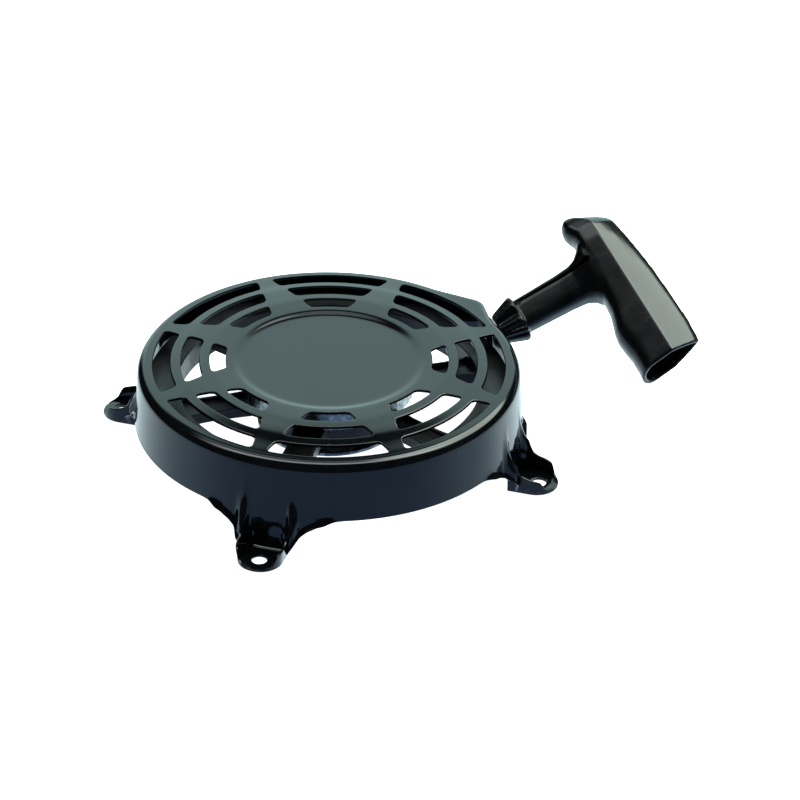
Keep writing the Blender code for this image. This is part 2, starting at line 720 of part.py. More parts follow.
def collar_rings():
    """Rounded rectangles that widen away from the nose and end in a step down to the stem."""
    rings = []
    for s, half_b, half_n in ((NOSE_S, 7.8, 6.8), (13.4, 11.2, 9.2), (14.6, 10.4, 8.4)):
        cut = 2.6
        ring = [(half_b - cut, -half_n), (half_b, cut - half_n), (half_b, half_n - cut), (half_b - cut, half_n)]
        ring += [(-b, -n) for b, n in ring]
        rings.append([(s, b, n) for b, n in ring])
    return rings


def build_grip(material):
    """A moulded T-grip: fluted collar, stem and a hollow bar that is open at its lower end."""
    to_world = grip_matrix()
    grip = object_from(layers(grip_layers(bar_outline(), BAR_HALF_DEPTH, 3.5), to_world), "grip", material)
    stem = layers(grip_layers(stem_outline(), STEM_HALF_DEPTH, 2.0), to_world)
    collar = layers(collar_rings(), to_world)
    joins = [object_from(stem, "join_stem"), object_from(collar, "join_collar")]
    boolean(grip, joins, "UNION")
    cavity_outline = [(66.0, -19.0), (75.0, -18.0), (79.5, -8.0), (81.0, 8.0), (81.4, BAR_END_B + 4)]
    cavity_outline += [(57.4, BAR_END_B + 4), (56.6, 44.0), (59.0, 30.0), (60.0, 12.0), (60.0, -14.0)]
    cavity = layers(grip_layers(cavity_outline, 8.6, 2.0), to_world)
    channel = Matrix.Rotation(math.pi / 2, 4, "Y")
    bore = prism(circle((0, 0), CHANNEL_RADIUS, 14), NOSE_S - 3.0, 62.0, to_world @ channel)
    boolean(grip, [object_from(cavity, "cut_cavity"), object_from(bore, "cut_channel")], "DIFFERENCE")
    return grip


def along_stem(profile, name, steps, material):
    """Turns a profile of (radius, s) about the stem's axis."""
    to_world = grip_matrix() @ Matrix.Rotation(math.pi / 2, 4, "Y")
    return object_from(lathe(profile, steps, closed=False, to_world=to_world), name, material)


def build_grip_rope(material):
    profile = [(0, 62.6), (ROPE_RADIUS, 62.6), (ROPE_RADIUS, NOSE_S + GAP), (0, NOSE_S + GAP)]
    return along_stem(profile, "rope_tail", 12, material)


def build_grip_plug(material):
    """The cup washer that the knot pulls against inside the bar."""
    to_world = grip_matrix() @ Matrix.Rotation(math.pi / 2, 4, "Y")
    profile = [(2.8, 63.4), (4.4, 64.4), (6.8, 64.4), (6.8, 60.4), (2.8, 60.4)]
    return object_from(lathe(profile, 20, to_world=to_world), "grip_washer", material)


def build_grip_knot(material):
    knot = [(0, 73.4), (2.2, 72.9), (4.4, 71.0), (5.1, 68.4), (4.3, 65.8), (2.4, 64.2), (2.2, 63.0), (0, 63.0)]
    return along_stem(knot, "grip_knot", 14, material)


# ---------------------------------------------------------------- the whole starter


def main():
    clear_scene()
    enamel = finish_material("black_enamel", (0.012, 0.014, 0.017), 0.16, 0.0)
    zinc = finish_material("zinc_plated_steel", (0.55, 0.56, 0.55), 0.35, 1.0)
    spring_steel = finish_material("spring_steel", (0.30, 0.31, 0.33), 0.32, 1.0)
    hardened = finish_material("hardened_steel", (0.24, 0.24, 0.25), 0.4, 1.0)
    bronze = finish_material("sintered_bronze", (0.45, 0.30, 0.15), 0.45, 1.0)
    nylon = finish_material("glass_filled_nylon", (0.035, 0.037, 0.040), 0.5, 0.0)
    rope = finish_material("braided_rope", (0.62, 0.60, 0.55), 0.85, 0.0)
    plastic = finish_material("grip_plastic", (0.020, 0.022, 0.025), 0.38, 0.0)

    build_housing(enamel)
    build_eyelet(zinc)
    build_spring_cup(zinc)
    build_post(zinc)
    build_rewind_spring(spring_steel)
    build_spring_keeper(zinc)

    build_pulley(nylon)
    build_pulley_bush(bronze)
    build_wound_rope(rope)
    build_rope_lead(rope)
    build_pulley_knot(rope)

    for number, angle in enumerate(PAWL_ANGLES_DEG, start=1):
        pivot = turned(angle) @ Vector((PAWL_CIRCLE, 0, 0))
        moving(build_pawl(number, angle, hardened), pivot)
        build_pawl_pin(number, angle, zinc)
        build_pawl_spring(number, angle, spring_steel)
    build_friction_plate(hardened)
    build_brake_spring(spring_steel)
    build_thrust_washer(zinc)
    build_centre_screw(zinc)

    build_grip(plastic)
    build_grip_rope(rope)
    build_grip_plug(zinc)
    build_grip_knot(rope)


main()
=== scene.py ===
"""Looks of a small engine's recoil starter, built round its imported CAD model.

Lengths inside the classes are millimetres in the CAD frame: the origin is the centre of the recessed top
disc, +Z points away from the engine, and the rope leaves between +X and +Y. Meshes are scaled to metres
when they are made.
"""

import logging
import math
from dataclasses import dataclass, field
from enum import Enum
from typing import Sequence

import bmesh
import bpy
import numpy as np
from mathutils import Matrix, Vector
from mathutils.bvhtree import BVHTree
from mathutils.interpolate import poly_3d_calc


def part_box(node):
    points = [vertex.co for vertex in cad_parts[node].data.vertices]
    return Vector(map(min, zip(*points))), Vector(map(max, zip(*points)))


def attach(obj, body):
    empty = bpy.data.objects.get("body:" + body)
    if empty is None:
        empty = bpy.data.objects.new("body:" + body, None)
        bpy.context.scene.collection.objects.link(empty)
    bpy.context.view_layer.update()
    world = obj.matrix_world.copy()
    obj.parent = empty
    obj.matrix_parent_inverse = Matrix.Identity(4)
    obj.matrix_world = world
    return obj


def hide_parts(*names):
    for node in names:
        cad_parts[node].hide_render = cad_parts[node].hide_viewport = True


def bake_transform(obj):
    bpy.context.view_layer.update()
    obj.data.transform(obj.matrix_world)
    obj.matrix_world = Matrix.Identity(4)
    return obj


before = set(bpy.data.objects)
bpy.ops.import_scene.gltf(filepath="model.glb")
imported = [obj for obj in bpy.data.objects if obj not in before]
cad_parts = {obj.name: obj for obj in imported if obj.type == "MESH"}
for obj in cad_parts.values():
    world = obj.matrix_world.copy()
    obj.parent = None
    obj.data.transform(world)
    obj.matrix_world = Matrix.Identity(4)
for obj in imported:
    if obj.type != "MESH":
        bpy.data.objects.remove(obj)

MM = 0.001
MERGE_M = 1e-7
LOG = logging.getLogger("recoil_starter")
Loop = Sequence[Sequence[float]]
Socket = bpy.types.NodeSocket
Piece = bpy.types.Object


class Slot(Enum):
    """Material slots of the record."""

    ENAMEL = "black_enamel"
    ZINC = "zinc_plated_steel"
    SPRING = "spring_steel"
    HARDENED = "hardened_steel"
    BRONZE = "sintered_bronze"
    NYLON = "glass_filled_nylon"
    ROPE = "braided_rope"
    GRIP = "grip_plastic"


# ---------------------------------------------------------------- finishes


class NodeBoard:
    """A material and short calls for its nodes."""

    def __init__(self, name: str) -> None:
        """Starts a node material.

        Args:
            name: the material's name.
        """
        self.material = bpy.data.materials.new(name)
        self.material.use_nodes = True
        self.tree = self.material.node_tree
        self.shader = self.tree.nodes["Principled BSDF"]
        self.place = self.add("ShaderNodeTexCoord").outputs["Object"]

    def add(self, kind: str, settings: dict | None = None, **inputs: object) -> bpy.types.Node:
        """Adds a node.

        Args:
            kind: Blender's node type.
            settings: attributes to set on the node.
            inputs: socket values or output sockets, by socket name with underscores for spaces.

        Returns:
            The new node.
        """
        node = self.tree.nodes.new(kind)
        for key, value in (settings or {}).items():
            setattr(node, key, value)
        for key, value in inputs.items():
            self.join(value, node.inputs[key.replace("_", " ")])
        return node

    def join(self, value: object, socket: Socket) -> None:
        """Links an output to a socket, or sets the socket's own value.

        Args:
            value: an output socket, a number or a colour.
            socket: the input.
        """
        if isinstance(value, Socket):
            self.tree.links.new(value, socket)
        else:
            socket.default_value = value

    def noise(self, scale: float, detail: float = 3.0, roughness: float = 0.55) -> Socket:
        """Noise fixed to the piece.

        Args:
            scale: cells per metre.
            detail: octaves.
            roughness: strength of the finer octaves.

        Returns:
            The noise value, about 0 to 1.
        """
        settings = {"Scale": scale, "Detail": detail, "Roughness": roughness}
        return self.add("ShaderNodeTexNoise", Vector=self.place, **settings).outputs["Fac"]

    def spread(self, value: Socket, low: float, high: float, span: tuple = (0.3, 0.7)) -> Socket:
        """Maps a span of a value to a range, clamped at both ends.

        Args:
            value: what is mapped, such as a noise.
            low: result at the span's start.
            high: result at the span's end.
            span: the part of the value that is spread out.

        Returns:
            The mapped value.
        """
        ends = {"From_Min": span[0], "From_Max": span[1], "To_Min": low, "To_Max": high}
        return self.add("ShaderNodeMapRange", Value=value, **ends).outputs["Result"]

    def mottle(self, scale: float, detail: float = 3.0) -> Socket:
        """Patches that run from 0 to 1."""
        return self.spread(self.noise(scale, detail), 0.0, 1.0)

    def blend(self, factor: Socket, first: object, second: object) -> Socket:
        """Mixes two colours.

        Args:
            factor: 0 for the first colour, 1 for the second.
            first: a colour or an output.
            second: a colour or an output.

        Returns:
            The mixed colour.
        """
        node = self.add("ShaderNodeMix", {"data_type": "RGBA"})
        for value, number in ((factor, 0), (first, 6), (second, 7)):
            self.join(value, node.inputs[number])
        return node.outputs[2]

    def bump(self, height: Socket, depth_mm: float, strength: float, under: Socket | None = None) -> Socket:
        """Adds a bump, on top of another when given.

        Args:
            height: the relief.
            depth_mm: its depth.
            strength: share of the bump that shows.
            under: a normal that this one lies on.

        Returns:
            The bumped normal.
        """
        node = self.add("ShaderNodeBump", Height=height, Distance=depth_mm * MM, Strength=strength)
        if under:
            self.join(under, node.inputs["Normal"])
        return node.outputs["Normal"]

    def worn_edges(self, low: float, high: float) -> Socket:
        """How far a point lies on a convex edge, broken up by noise.

        Args:
            low: pointiness where wear starts.
            high: pointiness where it is full.

        Returns:
            0 on the faces, up to 1 on worn edges.
        """
        pointiness = self.add("ShaderNodeNewGeometry").outputs["Pointiness"]
        edge = self.spread(pointiness, 0.0, 1.0, (low, high))
        patchy = self.spread(self.noise(420.0, 4.0), 0.0, 1.0, (0.42, 0.62))
        node = self.add("ShaderNodeMath", {"operation": "MULTIPLY"})
        self.join(edge, node.inputs[0])
        self.join(patchy, node.inputs[1])
        return node.outputs[0]

    def finish(
        self, colour: Socket, roughness: object, normal: Socket | None = None, metallic: float = 0.0
    ) -> bpy.types.Material:
        """Joins the main sockets of the shader.

        Args:
            colour: the base colour.
            roughness: a number or an output.
            normal: the bumped normal.
            metallic: 1 for bare or plated metal.

        Returns:
            The material.
        """
        self.join(colour, self.shader.inputs["Base Color"])
        self.join(roughness, self.shader.inputs["Roughness"])
        if normal:
            self.join(normal, self.shader.inputs["Normal"])
        self.shader.inputs["Metallic"].default_value = metallic
        return self.material


@dataclass(frozen=True)
class Enamel:
    """Baked black enamel over pressed steel, glossy, with faint orange peel, dust nibs and thin edges."""

    name: str = "baked_black_enamel"
    colour: tuple = (0.0014, 0.0018, 0.0022, 1.0)
    pale: tuple = (0.0028, 0.0034, 0.0040, 1.0)
    edge_colour: tuple = (0.016, 0.018, 0.019, 1.0)
    roughness: tuple = (0.055, 0.11)
    gloss: float = 1.5

    def make(self) -> bpy.types.Material:
        """Builds the material.

        Returns:
            The material.
        """
        board = NodeBoard(self.name)
        board.shader.inputs["IOR"].default_value = self.gloss
        tone = board.blend(board.mottle(38.0), self.colour, self.pale)
        colour = board.blend(board.worn_edges(0.53, 0.60), tone, self.edge_colour)
        roughness = board.spread(board.noise(55.0, 5.0), *self.roughness)
        peel = board.bump(board.noise(420.0, 2.0), 0.03, 0.01)
        wave = board.bump(board.noise(42.0, 2.0), 0.4, 0.03, peel)
        nibs = board.add("ShaderNodeTexVoronoi", Vector=board.place, Scale=95.0)
        speck = board.spread(nibs.outputs["Distance"], 1.0, 0.0, (0.0, 0.06))
        return board.finish(colour, roughness, board.bump(speck, 0.15, 0.30, wave))


@dataclass(frozen=True)
class Plated:
    """Metal with a rolled or brushed grain, stains and brighter edges."""

    name: str
    colour: tuple
    dark: tuple
    bright: tuple
    roughness: tuple = (0.26, 0.48)
    grain: float = 0.10

    def make(self) -> bpy.types.Material:
        """Builds the material.

        Returns:
            The material.
        """
        board = NodeBoard(self.name)
        tone = board.blend(board.mottle(70.0, 5.0), self.colour, self.dark)
        colour = board.blend(board.worn_edges(0.52, 0.58), tone, self.bright)
        streaks = board.add("ShaderNodeMapping", Vector=board.place, Scale=(900.0, 60.0, 900.0))
        lines = board.add("ShaderNodeTexNoise", Vector=streaks.outputs[0], Scale=1.0, Detail=3.0)
        roughness = board.spread(lines.outputs["Fac"], *self.roughness)
        normal = board.bump(lines.outputs["Fac"], 0.05, self.grain)
        return board.finish(colour, roughness, normal, 1.0)


@dataclass(frozen=True)
class Moulded:
    """Moulded plastic, from a fine pebble texture to a polished face."""

    name: str
    colour: tuple
    light: tuple
    roughness: tuple
    pebble: float
    pebble_scale: float = 1500.0
    scuffs: float = 0.04
    gloss: float = 1.5
    edge_gain: float = 2.2

    def make(self) -> bpy.types.Material:
        """Builds the material.

        Returns:
            The material.
        """
        board = NodeBoard(self.name)
        board.shader.inputs["IOR"].default_value = self.gloss
        tone = board.blend(board.mottle(90.0, 5.0), self.colour, self.light)
        edge_colour = tuple(min(1.0, c * self.edge_gain) for c in self.light[:3]) + (1.0,)
        colour = board.blend(board.worn_edges(0.54, 0.62), tone, edge_colour)
        turn = {"Scale": (60.0, 160.0, 90.0), "Rotation": (0.3, 0.2, 0.5)}
        smears = board.add("ShaderNodeMapping", Vector=board.place, **turn)
        shape = {"Scale": 1.0, "Detail": 5.0, "Distortion": 0.8}
        smear = board.add("ShaderNodeTexNoise", Vector=smears.outputs[0], **shape)
        roughness = board.spread(smear.outputs["Fac"], *self.roughness)
        grain = board.add("ShaderNodeTexVoronoi", Vector=board.place, Scale=self.pebble_scale)
        normal = board.bump(grain.outputs["Distance"], 0.12, self.pebble)
        return board.finish(colour, roughness, board.bump(board.noise(160.0, 4.0), 0.3, self.scuffs, normal))


@dataclass(frozen=True)
class Braid:
    """Black braided starter rope with waxed, slightly dusty fibres."""

    name: str = "black_braided_rope"
    colour: tuple = (0.006, 0.0065, 0.007, 1.0)
    dust: tuple = (0.024, 0.024, 0.023, 1.0)
    roughness: tuple = (0.62, 0.88)

    def make(self) -> bpy.types.Material:
        """Builds the material.

        Returns:
            The material.
        """
        board = NodeBoard(self.name)
        dusty = board.spread(board.noise(600.0, 5.0), 0.0, 1.0, (0.4, 0.75))
        colour = board.blend(dusty, self.colour, self.dust)
        fibres = board.add("ShaderNodeMapping", Vector=board.place, Scale=(5200.0, 900.0, 2400.0))
        strands = board.add("ShaderNodeTexNoise", Vector=fibres.outputs[0], Scale=1.0, Detail=3.0)
        roughness = board.spread(strands.outputs["Fac"], *self.roughness)
        return board.finish(colour, roughness, board.bump(strands.outputs["Fac"], 0.12, 0.5))


class Paintbox:
    """Every finish of the starter, made once."""

    def __init__(self) -> None:
        """Makes the materials."""
        plated = Plated(
            "zinc_plate", (0.34, 0.35, 0.35, 1), (0.22, 0.22, 0.21, 1), (0.60, 0.61, 0.60, 1)
        )
        spring = Plated(
            "blued_spring_steel", (0.20, 0.21, 0.24, 1), (0.12, 0.12, 0.14, 1), (0.45, 0.46, 0.48, 1),
            roughness=(0.2, 0.4),
        )  # fmt: skip
        hardened = Plated(
            "hardened_black_steel", (0.16, 0.16, 0.17, 1), (0.10, 0.09, 0.09, 1), (0.42, 0.42, 0.42, 1),
            roughness=(0.3, 0.5),
        )  # fmt: skip
        bronze = Plated(
            "oiled_bronze", (0.44, 0.29, 0.15, 1), (0.27, 0.17, 0.09, 1), (0.66, 0.46, 0.26, 1),
            roughness=(0.35, 0.6), grain=0.25,
        )  # fmt: skip
        nylon = Moulded(
            "black_filled_nylon", (0.003, 0.0035, 0.004, 1), (0.007, 0.008, 0.009, 1),
            roughness=(0.30, 0.46), pebble=0.10, gloss=1.4,
        )  # fmt: skip
        textured = Moulded(
            "pebbled_grip_plastic", (0.0012, 0.0014, 0.0017, 1), (0.003, 0.0034, 0.004, 1),
            roughness=(0.20, 0.30), pebble=0.16, scuffs=0.03, gloss=1.34,
        )  # fmt: skip
        # The palm's plastic: its lower roughness is the real polish, but its paler base colour than the
        # pebbled face is painted sheen, standing in for the light that the palm reflects.
        polished = Moulded(
            "polished_grip_plastic_painted_sheen", (0.006, 0.007, 0.007, 1), (0.012, 0.014, 0.014, 1),
            roughness=(0.10, 0.20), pebble=0.01, pebble_scale=900.0, scuffs=0.03,
        )  # fmt: skip
        self.textured_grip = textured.make()
        self.polished_grip_painted_sheen = polished.make()
        self.by_slot = {
            Slot.ENAMEL: Enamel().make(),
            Slot.ZINC: plated.make(),
            Slot.SPRING: spring.make(),
            Slot.HARDENED: hardened.make(),
            Slot.BRONZE: bronze.make(),
            Slot.NYLON: nylon.make(),
            Slot.ROPE: Braid().make(),
            Slot.GRIP: self.textured_grip,
        }


# ---------------------------------------------------------------- mesh making


def mesh_piece(name: str, points: Loop, faces: Sequence[Sequence[int]], sharp_deg: float = 34.0) -> Piece:
    """Makes an object from points in millimetres.

    Args:
        name: the piece's name.
        points: vertex positions.
        faces: vertex numbers of each face.
        sharp_deg: edges that turn by more than this stay sharp.

    Returns:
        The linked object.
    """
    mesh = bpy.data.meshes.new(name)
    mesh.from_pydata([tuple(float(c) * MM for c in p) for p in points], [], [tuple(f) for f in faces])
    work = bmesh.new()
    work.from_mesh(mesh)
    bmesh.ops.remove_doubles(work, verts=work.verts, dist=MERGE_M)
    bmesh.ops.recalc_face_normals(work, faces=work.faces)
    work.to_mesh(mesh)
    work.free()
    mesh.shade_smooth()
    mesh.set_sharp_from_angle(angle=math.radians(sharp_deg))
    piece = bpy.data.objects.new(name, mesh)
    bpy.context.scene.collection.objects.link(piece)
    return piece


def skin(rows: Sequence[Loop], capped: bool = True, ring: bool = False) -> tuple[list, list]:
    """Joins closed rows of points, all of one length, with quads.

    Args:
        rows: the loops, in order.
        capped: the first and the last row are closed with a face.
        ring: the last row joins the first.

    Returns:
        Points and faces.
    """
    width = len(rows[0])
    points = [tuple(p) for row in rows for p in row]
    faces = []
    for i in range(len(rows) if ring else len(rows) - 1):
        a, b = i * width, (i + 1) % len(rows) * width
        for j in range(width):
            k = (j + 1) % width
            faces.append((a + j, a + k, b + k, b + j))
    if capped and not ring:
        faces.append(tuple(range(width - 1, -1, -1)))
        faces.append(tuple(range(len(points) - width, len(points))))
    return points, faces


def circle(radius: float, count: int, centre: Sequence[float] = (0.0, 0.0)) -> list:
    """Points (x, y) round a circle, counter-clockwise."""
    angles = np.arange(count) * math.tau / count
    return [(centre[0] + radius * math.cos(a), centre[1] + radius * math.sin(a)) for a in angles]


def turned_piece(
    name: str, profile: Loop, steps: int = 96, ring: bool = True, place: Matrix | None = None
) -> Piece:
    """A lathe-turned piece.

    Args:
        name: the piece's name.
        profile: points of (radius, height).
        steps: points round the axis.
        ring: the profile is a closed loop round a hole; otherwise its ends are capped.
        place: a matrix in millimetres, applied to the points.

    Returns:
        The object.
    """
    points, faces = skin([[(x, y, z) for x, y in circle(r, steps)] for r, z in profile], ring=ring)
    if place:
        points = [place @ Vector(p) for p in points]
    return mesh_piece(name, points, faces)


def joined(name: str, parts: Sequence[Piece]) -> Piece:
    """Joins several objects into the first.

    Args:
        name: the joined piece's name.
        parts: the objects.

    Returns:
        The joined piece.
    """
    bpy.ops.object.select_all(action="DESELECT")
    for part in parts:
        part.select_set(True)
    bpy.context.view_layer.objects.active = parts[0]
    bpy.ops.object.join()
    parts[0].name = name
    parts[0].data.name = name
    return parts[0]


def apply_modifiers(piece: Piece) -> None:
    """Replaces a piece's mesh with the result of its modifiers.

    Args:
        piece: the object.
    """
    graph = bpy.context.evaluated_depsgraph_get()
    graph.update()
    mesh = bpy.data.meshes.new_from_object(piece.evaluated_get(graph))
    piece.modifiers.clear()
    piece.data = mesh


def cut(piece: Piece, tools: Sequence[Piece], operation: str = "DIFFERENCE") -> None:
    """Applies one exact Boolean with every tool, and removes the tools.

    Args:
        piece: what is cut.
        tools: the cutters.
        operation: Blender's name of the Boolean.
    """
    group = bpy.data.collections.new(f"{piece.name}_tools")
    for tool in tools:
        group.objects.link(tool)
    modifier = piece.modifiers.new("cut", "BOOLEAN")
    modifier.operation = operation
    modifier.operand_type = "COLLECTION"
    modifier.collection = group
    modifier.solver = "EXACT"
    apply_modifiers(piece)
    for tool in tools:
        bpy.data.objects.remove(tool, do_unlink=True)
    bpy.data.collections.remove(group)


def offset_loop(loop: Loop, distance: float) -> list:
    """Moves a closed, counter-clockwise plane loop outwards.

    Args:
        loop: points (x, y).
        distance: how far, negative for inwards.

    Returns:
        The moved points.
    """
    points = np.array(loop, float)
    ahead = np.roll(points, -1, axis=0) - points
    ahead /= np.linalg.norm(ahead, axis=1)[:, None]
    normal = np.stack([ahead[:, 1], -ahead[:, 0]], axis=1)
    mean = normal + np.roll(normal, 1, axis=0)
    mean /= np.linalg.norm(mean, axis=1)[:, None]
    return (points + mean * distance).tolist()


def along_knots(knots: Loop, at: np.ndarray | float) -> np.ndarray | float:
    """Value of a broken line through (station, value) knots."""
    return np.interp(at, *np.array(knots).T)


def smooth_step(value: np.ndarray | float, low: float, high: float) -> np.ndarray | float:
    """Rises smoothly from 0 at low to 1 at high, or the other way when low is the larger."""
    t = np.clip((value - low) / (high - low), 0.0, 1.0)
    return t * t * (3.0 - 2.0 * t)


def arc_points(centre: Sequence[float], radius: float, start_deg: float, end_deg: float, pieces: int) -> list:
    """Points along an arc in the plane, both ends included.

    Args:
        centre: (x, y).
        radius: the arc's radius.
        start_deg: angle of the first point.
        end_deg: angle of the last point.
        pieces: steps between them.

    Returns:
        Points (x, y).
    """
    angles = np.radians(np.linspace(start_deg, end_deg, pieces + 1))
    return [(centre[0] + radius * math.cos(a), centre[1] + radius * math.sin(a)) for a in angles]


def polar(radius: float, degrees: float) -> tuple:
    """The point (x, y) at a radius and an angle in degrees."""
    return circle_point(radius, math.radians(degrees))


def circle_point(radius: float, angle: float) -> tuple:
    """The point (x, y) at a radius and an angle in radians."""
    return radius * math.cos(angle), radius * math.sin(angle)


def signed_power(value: float, power: float) -> float:
    """Raises a value's size to a power and keeps its sign, to square off a circle."""
    return math.copysign(abs(value) ** power, value)


def show(piece: Piece, body: str, slot: Slot, materials: Sequence[bpy.types.Material], *nodes: str) -> None:
    """Gives a piece its finish, its body and the CAD nodes that it stands for.

    Args:
        piece: the object.
        body: the CAD body that it moves with.
        slot: the record's material slot; not used.
        materials: the object's materials, in order.
        nodes: the CAD nodes that it replaces.
    """
    piece.data.materials.clear()
    for material in materials:
        piece.data.materials.append(material)
    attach(piece, body)
    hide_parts(*nodes)
    LOG.info("%s: %d faces", piece.name, len(piece.data.polygons))


# ---------------------------------------------------------------- housing


@dataclass
class Housing:
    """The pressed steel housing: slotted domed top, rounded rim, skirt, rope outlet and four ears."""

    paint: Paintbox
    sheet: float = 1.2
    skirt_top: tuple = (93.7, -6.8)
    skirt_bottom: tuple = (95.3, -32.2)
    rim_centre: tuple = (88.7, -6.7)
    rim_radius: float = 5.0
    top_knots: tuple = (
        (0.0, 0.0), (42.4, 0.0), (43.6, 0.08), (45.2, 0.5), (47.0, 1.02), (50.6, 1.18), (58.3, 1.36),
        (63.5, 0.99), (68.0, 0.68), (72.5, 0.30), (77.7, -0.50), (82.0, -0.97), (86.2, -1.38),
        (88.7, -1.70),
    )  # fmt: skip
    ring_radii: tuple = ((50.6, 58.3), (63.5, 72.5), (77.7, 86.2))
    slot_groups: int = 8
    slot_slope: float = 0.6445
    slot_point: float = 35.3
    slot_corner: float = 2.2
    outlet_deg: tuple = (30.0, 40.0, 55.0)
    outlet_corner: float = 101.0
    outlet_tilt: float = 0.063
    eyelet_bore: float = 7.3
    ear_degs: tuple = (-17.4, 72.6, 162.6, 252.6)
    ear_spread_deg: float = 17.0
    ear_hole: tuple = (107.76, 3.65)
    ear_half: float = 11.0
    ear_root: float = 94.6
    ear_tip: float = 106.3
    floor_z: float = -50.0
    hem_knots: tuple = (
        (0.0, -49.4), (10.6, -49.3), (12.0, -46.2), (13.4, -43.4), (15.8, -40.3), (19.2, -37.2),
        (24.0, -34.5), (30.0, -32.8), (37.0, -32.2),
    )  # fmt: skip
    ridge_heights: tuple = (
        (-50.0, 5.6), (-39.0, 5.1), (-35.0, 4.1), (-31.0, 2.4), (-27.0, 1.0), (-23.0, 0.3), (-18.0, 0.0),
    )  # fmt: skip
    ear_edge: tuple = (
        (95.0, -30.0), (98.9, -33.5), (100.6, -37.4), (101.9, -39.6), (104.2, -40.8), (107.6, -41.7),
        (110.9, -42.5), (111.7, -43.6), (113.3, -47.0), (114.8, -48.1), (116.6, -48.6),
    )  # fmt: skip
    ear_edge_lean: float = 0.10

    def top_height(self, radius: float) -> float:
        """Height of the outer surface inside the rim.

        Args:
            radius: distance from the axis.

        Returns:
            The height.
        """
        step, blur, reach, end_slope = 0.1, 8.0, 30, 0.012
        fine = np.arange(0.0, 88.8, step)
        rough = along_knots(self.top_knots, fine)
        kernel = np.exp(-0.5 * (np.arange(-reach, reach + 1) / blur) ** 2)
        beyond = rough[-1] - end_slope * np.arange(1, reach + 1)
        padded = np.concatenate([np.full(reach, rough[0]), rough, beyond])
        soft = np.convolve(padded, kernel / kernel.sum(), mode="valid")
        return float(np.interp(radius, fine, soft))

    def columns(self) -> np.ndarray:
        """Angles of the shell's columns, in degrees, closer together at the ears.

        Returns:
            The angles, in order.
        """
        spread = self.ear_spread_deg
        fine = [a % 360 for ear in self.ear_degs for a in np.arange(ear - spread, ear + spread, 0.5)]
        coarse = [
            a for a in np.arange(0.0, 360.0, 1.0)
            if all(abs((a - ear + 180) % 360 - 180) > spread + 0.2 for ear in self.ear_degs)
        ]  # fmt: skip
        return np.array(sorted(coarse + fine))

    def outlet_growth(self, angles: np.ndarray) -> np.ndarray:
        """How far the rim stands out at each angle, with softly rounded corners.

        Args:
            angles: the columns' angles, in degrees.

        Returns:
            The growth at each angle.
        """
        near, corner, far = self.outlet_deg
        rim = self.skirt_top[0]

        def wall(degrees: float, first: tuple, second: tuple) -> float:
            """Distance from the axis to a straight wall along a ray.

            Args:
                degrees: the ray's angle.
                first: one end of the wall.
                second: its other end.

            Returns:
                The distance.
            """
            (x1, y1), (x2, y2) = first, second
            ray = math.radians(degrees)
            across = (x2 - x1) * math.sin(ray) - (y2 - y1) * math.cos(ray)
            return abs((x2 * y1 - x1 * y2) / across)

        def growth(degrees: float) -> float:
            """Growth at one angle, with sharp corners.

            Args:
                degrees: the angle.

            Returns:
                How far the wall stands out of the rim.
            """
            peak = polar(self.outlet_corner, corner)
            if near <= degrees <= corner:
                return wall(degrees, polar(rim, near), peak) - rim
            if corner < degrees <= far:
                return wall(degrees, peak, polar(rim, far)) - rim
            return 0.0

        spread = np.linspace(-2.4, 2.4, 13)
        weights = np.exp(-0.5 * (spread / 1.1) ** 2)
        weights /= weights.sum()
        return np.array([sum(w * growth(a + d) for w, d in zip(weights, spread)) for a in angles])

    def across_ear(self, angles: np.ndarray) -> np.ndarray:
        """Distance along the skirt from the nearest ear's centre line, in millimetres."""
        gaps = [np.abs((angles - ear + 180.0) % 360.0 - 180.0) for ear in self.ear_degs]
        return np.radians(np.min(gaps, axis=0)) * self.skirt_bottom[0]

    def stand_out(self, across: np.ndarray, height: np.ndarray, hem: np.ndarray) -> np.ndarray:
        """How far the ear's two ridges and the turned lip stand out of the skirt.

        Args:
            across: distance from the ear's centre line at each column.
            height: the row's height at each column.
            hem: height of the skirt's lower edge at each column.

        Returns:
            Millimetres outwards, negative in the recess between the ridges.
        """
        outer_flank = np.clip((17.0 - across) / 5.2, 0.0, 1.0)
        inner_flank = np.clip((across - 8.6) / 3.0, 0.0, 1.0)
        ridge = along_knots(self.ridge_heights, height)
        ridge = ridge * smooth_step(outer_flank, 0, 1) * smooth_step(inner_flank, 0, 1)
        lip_zone = smooth_step(across, 34.0, 26.0) * smooth_step(across, 11.5, 13.5)
        lip = 2.6 * np.clip(1.0 - (height - hem) / 3.0, 0.0, 1.0) ** 1.6 * lip_zone
        recess_heights = smooth_step(height, -46.0, -45.2) * smooth_step(height, -37.2, -38.2)
        return ridge + lip - 0.7 * smooth_step(across, 7.6, 6.4) * recess_heights

    def shell_rows(self) -> list:
        """Rows of the sheet's outer and inner surface, without the two poles.

        Returns:
            Rows of points from the axis outside, round the skirt's edge, to the axis inside.
        """
        angles = self.columns()
        rays = np.radians(angles)
        growth = self.outlet_growth(angles)
        across = self.across_ear(angles)
        hem = along_knots(self.hem_knots, across)
        (top_radius, top_z), (bottom_radius, bottom_z) = self.skirt_top, self.skirt_bottom
        slope = (bottom_radius - top_radius) / (top_z - bottom_z)

        def row(reach: np.ndarray, heights: np.ndarray) -> list:
            """Points at a reach and a height for each column."""
            return np.stack([reach * np.cos(rays), reach * np.sin(rays), heights], axis=1).tolist()

        def ring(radius: float, height: float, out: float = 0.0) -> list:
            """One row of the domed top or the rim."""
            reach = radius + growth * smooth_step(radius + out, 86.6, 89.6)
            return row(reach, np.full_like(rays, height))

        def wall(height: np.ndarray, depth: float = 0.0) -> list:
            """One row of the skirt, at a depth inside its outer face."""
            straight = top_radius + slope * (top_z - height) - depth + growth
            return row(straight + self.stand_out(across, height, hem), height)

